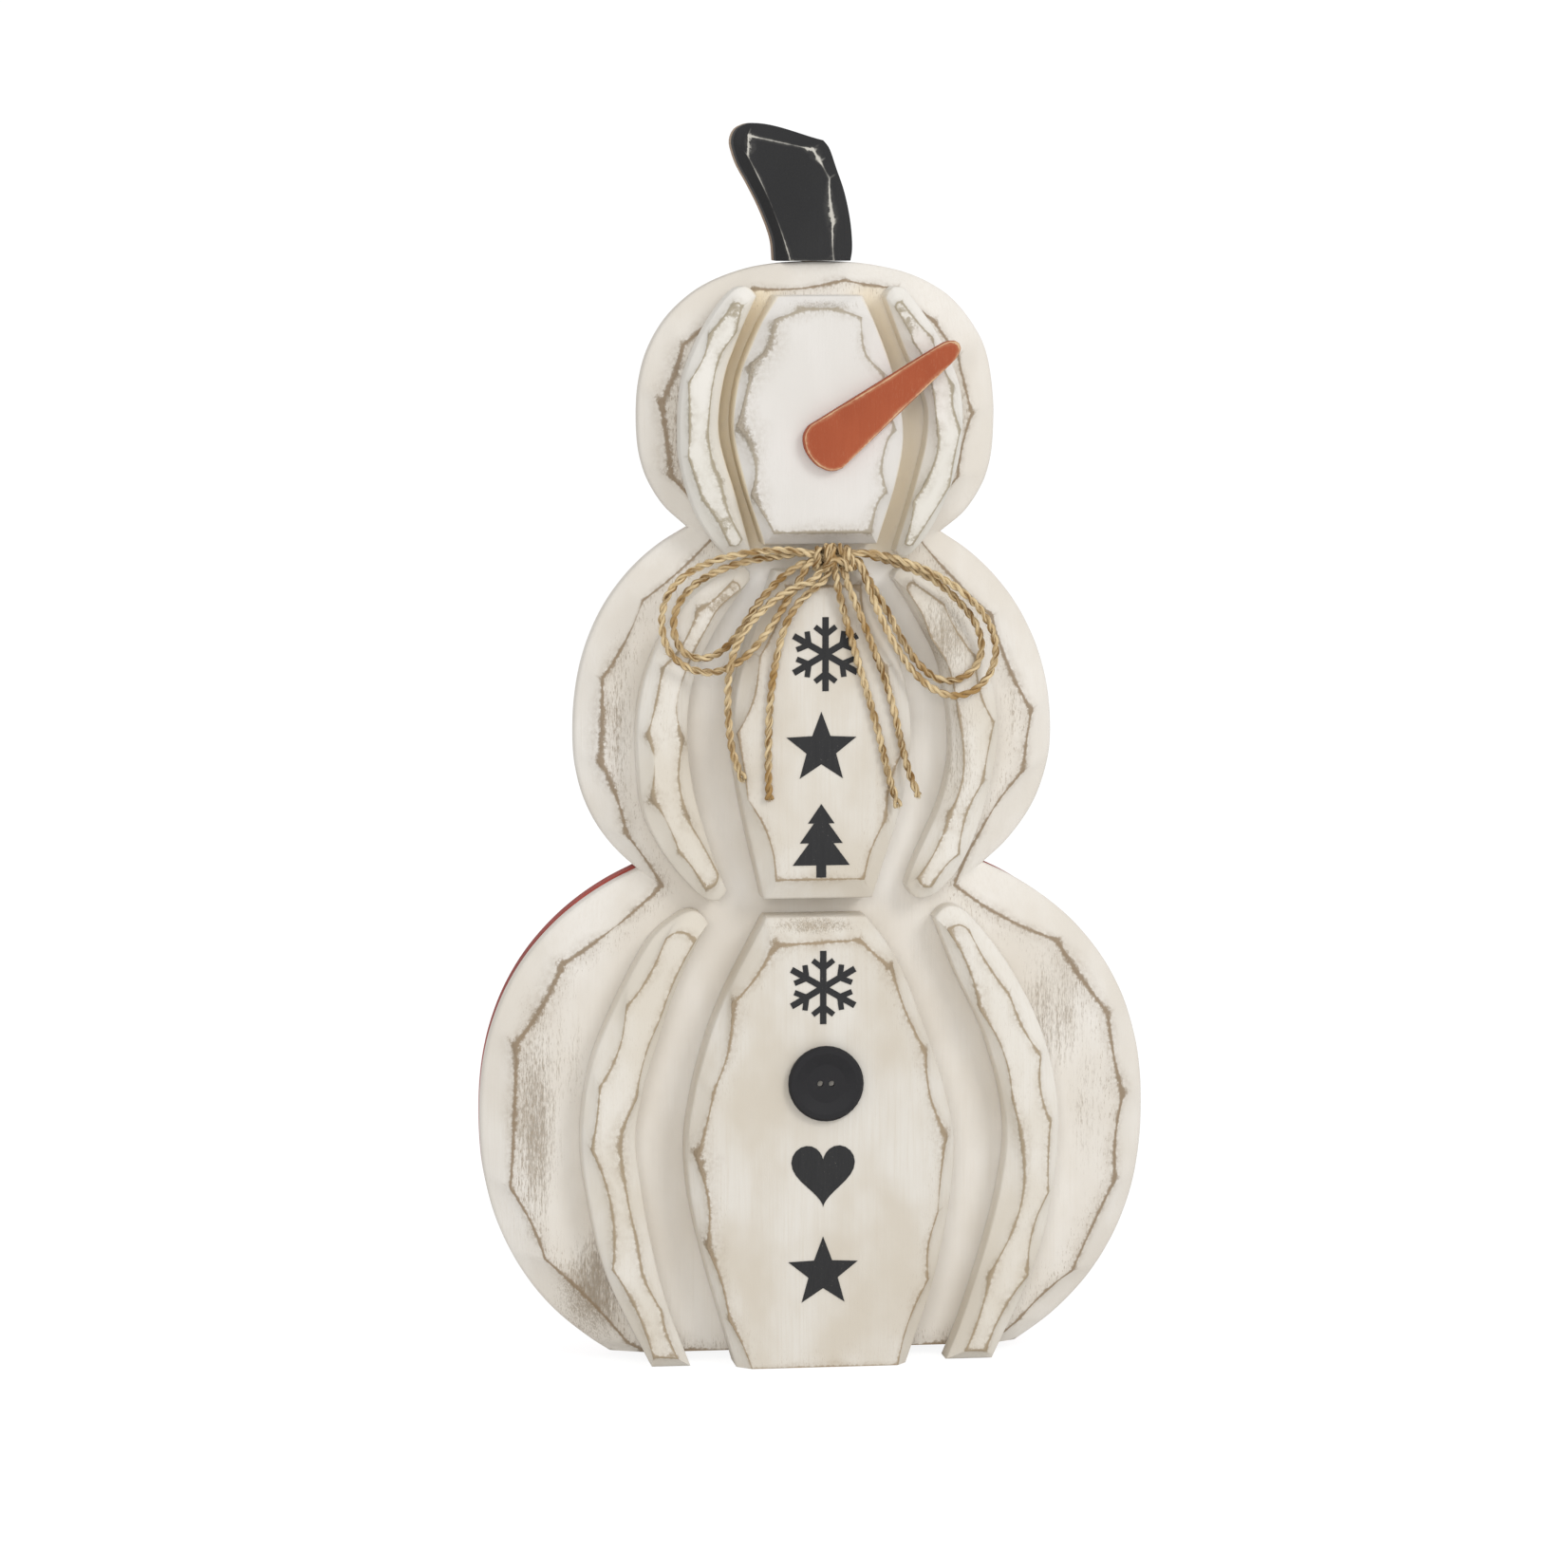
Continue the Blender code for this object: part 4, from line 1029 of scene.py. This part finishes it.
def flake_shape(reach=18.0, wide=3.1):
    """Three crossed bars with a pair of twigs near each tip."""
    strokes = []
    for k in range(3):
        turn = math.pi / 2 + math.pi * k / 3
        tip = Vector((math.cos(turn), math.sin(turn))) * reach
        strokes.append(bar(-tip, tip, wide))
    for k in range(6):
        turn = math.pi / 2 + math.pi * k / 3
        joint = Vector((math.cos(turn), math.sin(turn))) * reach * 0.52
        for lean in (-1, 1):
            away = turn + lean * math.radians(52)
            twig = Vector((math.cos(away), math.sin(away))) * reach * 0.36
            strokes.append(bar(joint, joint + twig, wide * 0.85))
    return strokes


SHAPES = {"star": star_shape, "heart": heart_shape, "tree": tree_shape, "flake": flake_shape}


def add_motif(number, kind, across, up):
    """A painted motif: its strokes merged into one thin layer of paint."""
    lobe = "middle" if up > NECK_HEIGHT else "base"
    panel = f"front_{lobe}_centre_panel"
    face = glue_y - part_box(panel)[0].y / MM
    strokes = SHAPES[kind]()
    points = [Vector(p) for stroke in strokes for p in stroke]
    loops, start = [], 0
    for stroke in strokes:
        loops.append(list(range(start, start + len(stroke))))
        start += len(stroke)
    net = delaunay_2d_cdt(points, [], loops, 1, 1e-4)
    shape = bmesh.new()
    top = [shape.verts.new(world(across + p.x, up + p.y, face + MOTIF_THICK)) for p in net[0]]
    for triangle in net[2]:
        shape.faces.new([top[v] for v in triangle])
    sides = bmesh.ops.extrude_face_region(shape, geom=list(shape.faces))
    for vertex in sides["geom"]:
        if isinstance(vertex, bmesh.types.BMVert):
            vertex.co.y += (MOTIF_THICK + MOTIF_SINK) * MM
    bmesh.ops.recalc_face_normals(shape, faces=shape.faces)
    mesh = bpy.data.meshes.new(f"motif_{number}_{kind}")
    shape.to_mesh(mesh)
    shape.free()
    motif = add_object(mesh.name, mesh, motif_material())
    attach(motif, "root")


# ---------------------------------------------------------------- the figure

LOBES = ("head", "middle", "base")
EDGE_WEAR = {"head": 0.85, "middle": 0.6, "base": 0.72}  # how wide the rubbed lines are
# How much yellow glaze and painted shade lie in the channels of each lobe, between its ribs and
# centre panel.
# # Below nought it is how much painted light lies there, as whiter paint.
CHANNEL_SHADE_LIGHT = {"head": 1.2, "middle": -1.5, "base": -1.1}

AMBIENT, BACKDROP = 0.72, 1.05  # how strongly the studio lights the figure, and shows
LIGHT_AIM = (0, 0, 0.3)
# The floor, in metres, and how bright and how strong its own glow is for the camera.
FLOOR_REACH, FLOOR_DROP, FLOOR_GLOW, FLOOR_GLOW_SHARE = 12.0, 0.0002, 1.2, 0.75
# Each light: name, place in metres, size in metres, watts.
LIGHTS = [
    ("key_soft_box", (1.7, -2.65, 2.05), 1.2, 31.5),
    ("front_fill", (-0.9, -3.2, 1.0), 1.0, 18.0),
]


def add_side(label, side, board_paint, rib_paints, panel_paints, slot):
    """A board with its ribs and centre panels. Only the front gets glaze, painted shade and
    painted light in its channels.
    """
    channels = []
    for lobe in LOBES if side == FRONT else ():
        panel = outline_of(f"{label}_{lobe}_centre_panel", side)
        for hand in ("left", "right"):
            rib = outline_of(f"{label}_{lobe}_{hand}_rib", side)
            channels.append((panel, rib, CHANNEL_SHADE_LIGHT[lobe]))
    whittled(f"{label}_board", side, board_paint, slot, wear=0.75, scoop=0.9, grid=5.0,
             near=channels)
    for lobe, rib_paint, panel_paint in zip(LOBES, rib_paints, panel_paints):
        wear = EDGE_WEAR[lobe]
        for hand in ("left", "right"):
            whittled(f"{label}_{lobe}_{hand}_rib", side, rib_paint, slot, wear=wear,
                     scoop=0.6, grid=3.0, round_ends=True, near=channels)
        whittled(f"{label}_{lobe}_centre_panel", side, panel_paint, slot, wear=wear, scoop=0.8,
                 near=channels)


def add_lights():
    """A white studio: even light from all round, and two soft boxes in front of the figure."""
    scene = bpy.context.scene
    scene.view_settings.view_transform = "Standard"
    studio = bpy.data.worlds.new("studio")
    studio.use_nodes = True
    tree = studio.node_tree
    background = tree.nodes["Background"]
    background.inputs["Color"].default_value = (1.0, 1.0, 1.0, 1.0)
    background.inputs["Strength"].default_value = AMBIENT
    # The backdrop itself is seen as plain white.
    backdrop = tree.nodes.new("ShaderNodeBackground")
    backdrop.inputs["Color"].default_value = (1.0, 1.0, 1.0, 1.0)
    backdrop.inputs["Strength"].default_value = BACKDROP
    path = tree.nodes.new("ShaderNodeLightPath")
    either = tree.nodes.new("ShaderNodeMixShader")
    tree.links.new(path.outputs["Is Camera Ray"], either.inputs[0])
    tree.links.new(background.outputs[0], either.inputs[1])
    tree.links.new(backdrop.outputs[0], either.inputs[2])
    tree.links.new(either.outputs[0], tree.nodes["World Output"].inputs["Surface"])
    scene.world = studio
    for name, place, size, power in LIGHTS:
        light_data = bpy.data.lights.new(name, "AREA")
        light_data.size = size
        light_data.energy = power
        light = add_object(name, light_data)
        light.location = place
        aim = Vector(LIGHT_AIM) - light.location
        light.rotation_euler = aim.to_track_quat("-Z", "Y").to_euler()


def add_floor():
    """A pale floor, lit from within for the camera so that only a faint shadow shows."""
    nodes = Nodes("pale_floor")
    tone = nodes.noise(400, (1, 1, 1), 2)
    colour = nodes.mix(tone, (0.78, 0.78, 0.78, 1), (0.82, 0.82, 0.82, 1))
    material = nodes.finish(colour, 0.9, None, 0, specular=0.0)
    tree = nodes.tree
    glow = tree.nodes.new("ShaderNodeEmission")
    glow.inputs["Strength"].default_value = FLOOR_GLOW
    seen = tree.nodes.new("ShaderNodeLightPath").outputs["Is Camera Ray"]
    share = nodes.math("MULTIPLY", seen, FLOOR_GLOW_SHARE)
    either = tree.nodes.new("ShaderNodeMixShader")
    nodes.feed(either.inputs[0], share)
    nodes.feed(either.inputs[1], nodes.shader.outputs[0])
    nodes.feed(either.inputs[2], glow.outputs[0])
    nodes.feed(tree.nodes["Material Output"].inputs["Surface"], either.outputs[0])
    mesh = bpy.data.meshes.new("floor")
    far = FLOOR_REACH
    mesh.from_pydata([(-far, -far, 0), (far, -far, 0), (far, far, 0), (-far, far, 0)],
                     [], [(0, 1, 2, 3)])
    floor = add_object("floor", mesh, material)
    floor.location.z = -FLOOR_DROP


def repaint_cad(node, material):
    """A CAD piece that keeps its own shape gets a finished material."""
    thing = frame["nodes"][node]
    thing.data.materials.clear()
    thing.data.materials.append(material)


add_camera()
add_bow()
add_side("front", FRONT, "board_cream", ("rib_white", "rib_cream", "rib_cream"),
         ("head_white", "cream", "cream"), "cream_paint")
add_side("back", BACK, "brick", ("brick",) * 3, ("brick",) * 3, "brick_paint")
whittled("front_stem", FRONT, "stem_black", "black_paint", wear=0.22, scoop=0.3, grid=3.0)
whittled("back_stem", BACK, "stem_tan", "tan_paint", wear=0.3, scoop=0.3, grid=3.0)
whittled("carrot_nose", FRONT, "carrot", "carrot_paint", wear=0.30, scoop=0.0, grid=3.0,
         smooth=True)
for number, (kind, across, up) in enumerate(MOTIFS, 1):
    add_motif(number, kind, across, up)
repaint_cad("coat_button", button_material())
for node in frame["nodes"]:
    if node.endswith("_brad") or node == "bow_pin":
        repaint_cad(node, steel_material())
    elif node.endswith("_dowel"):
        repaint_cad(node, dowel_material())
add_lights()
add_floor()
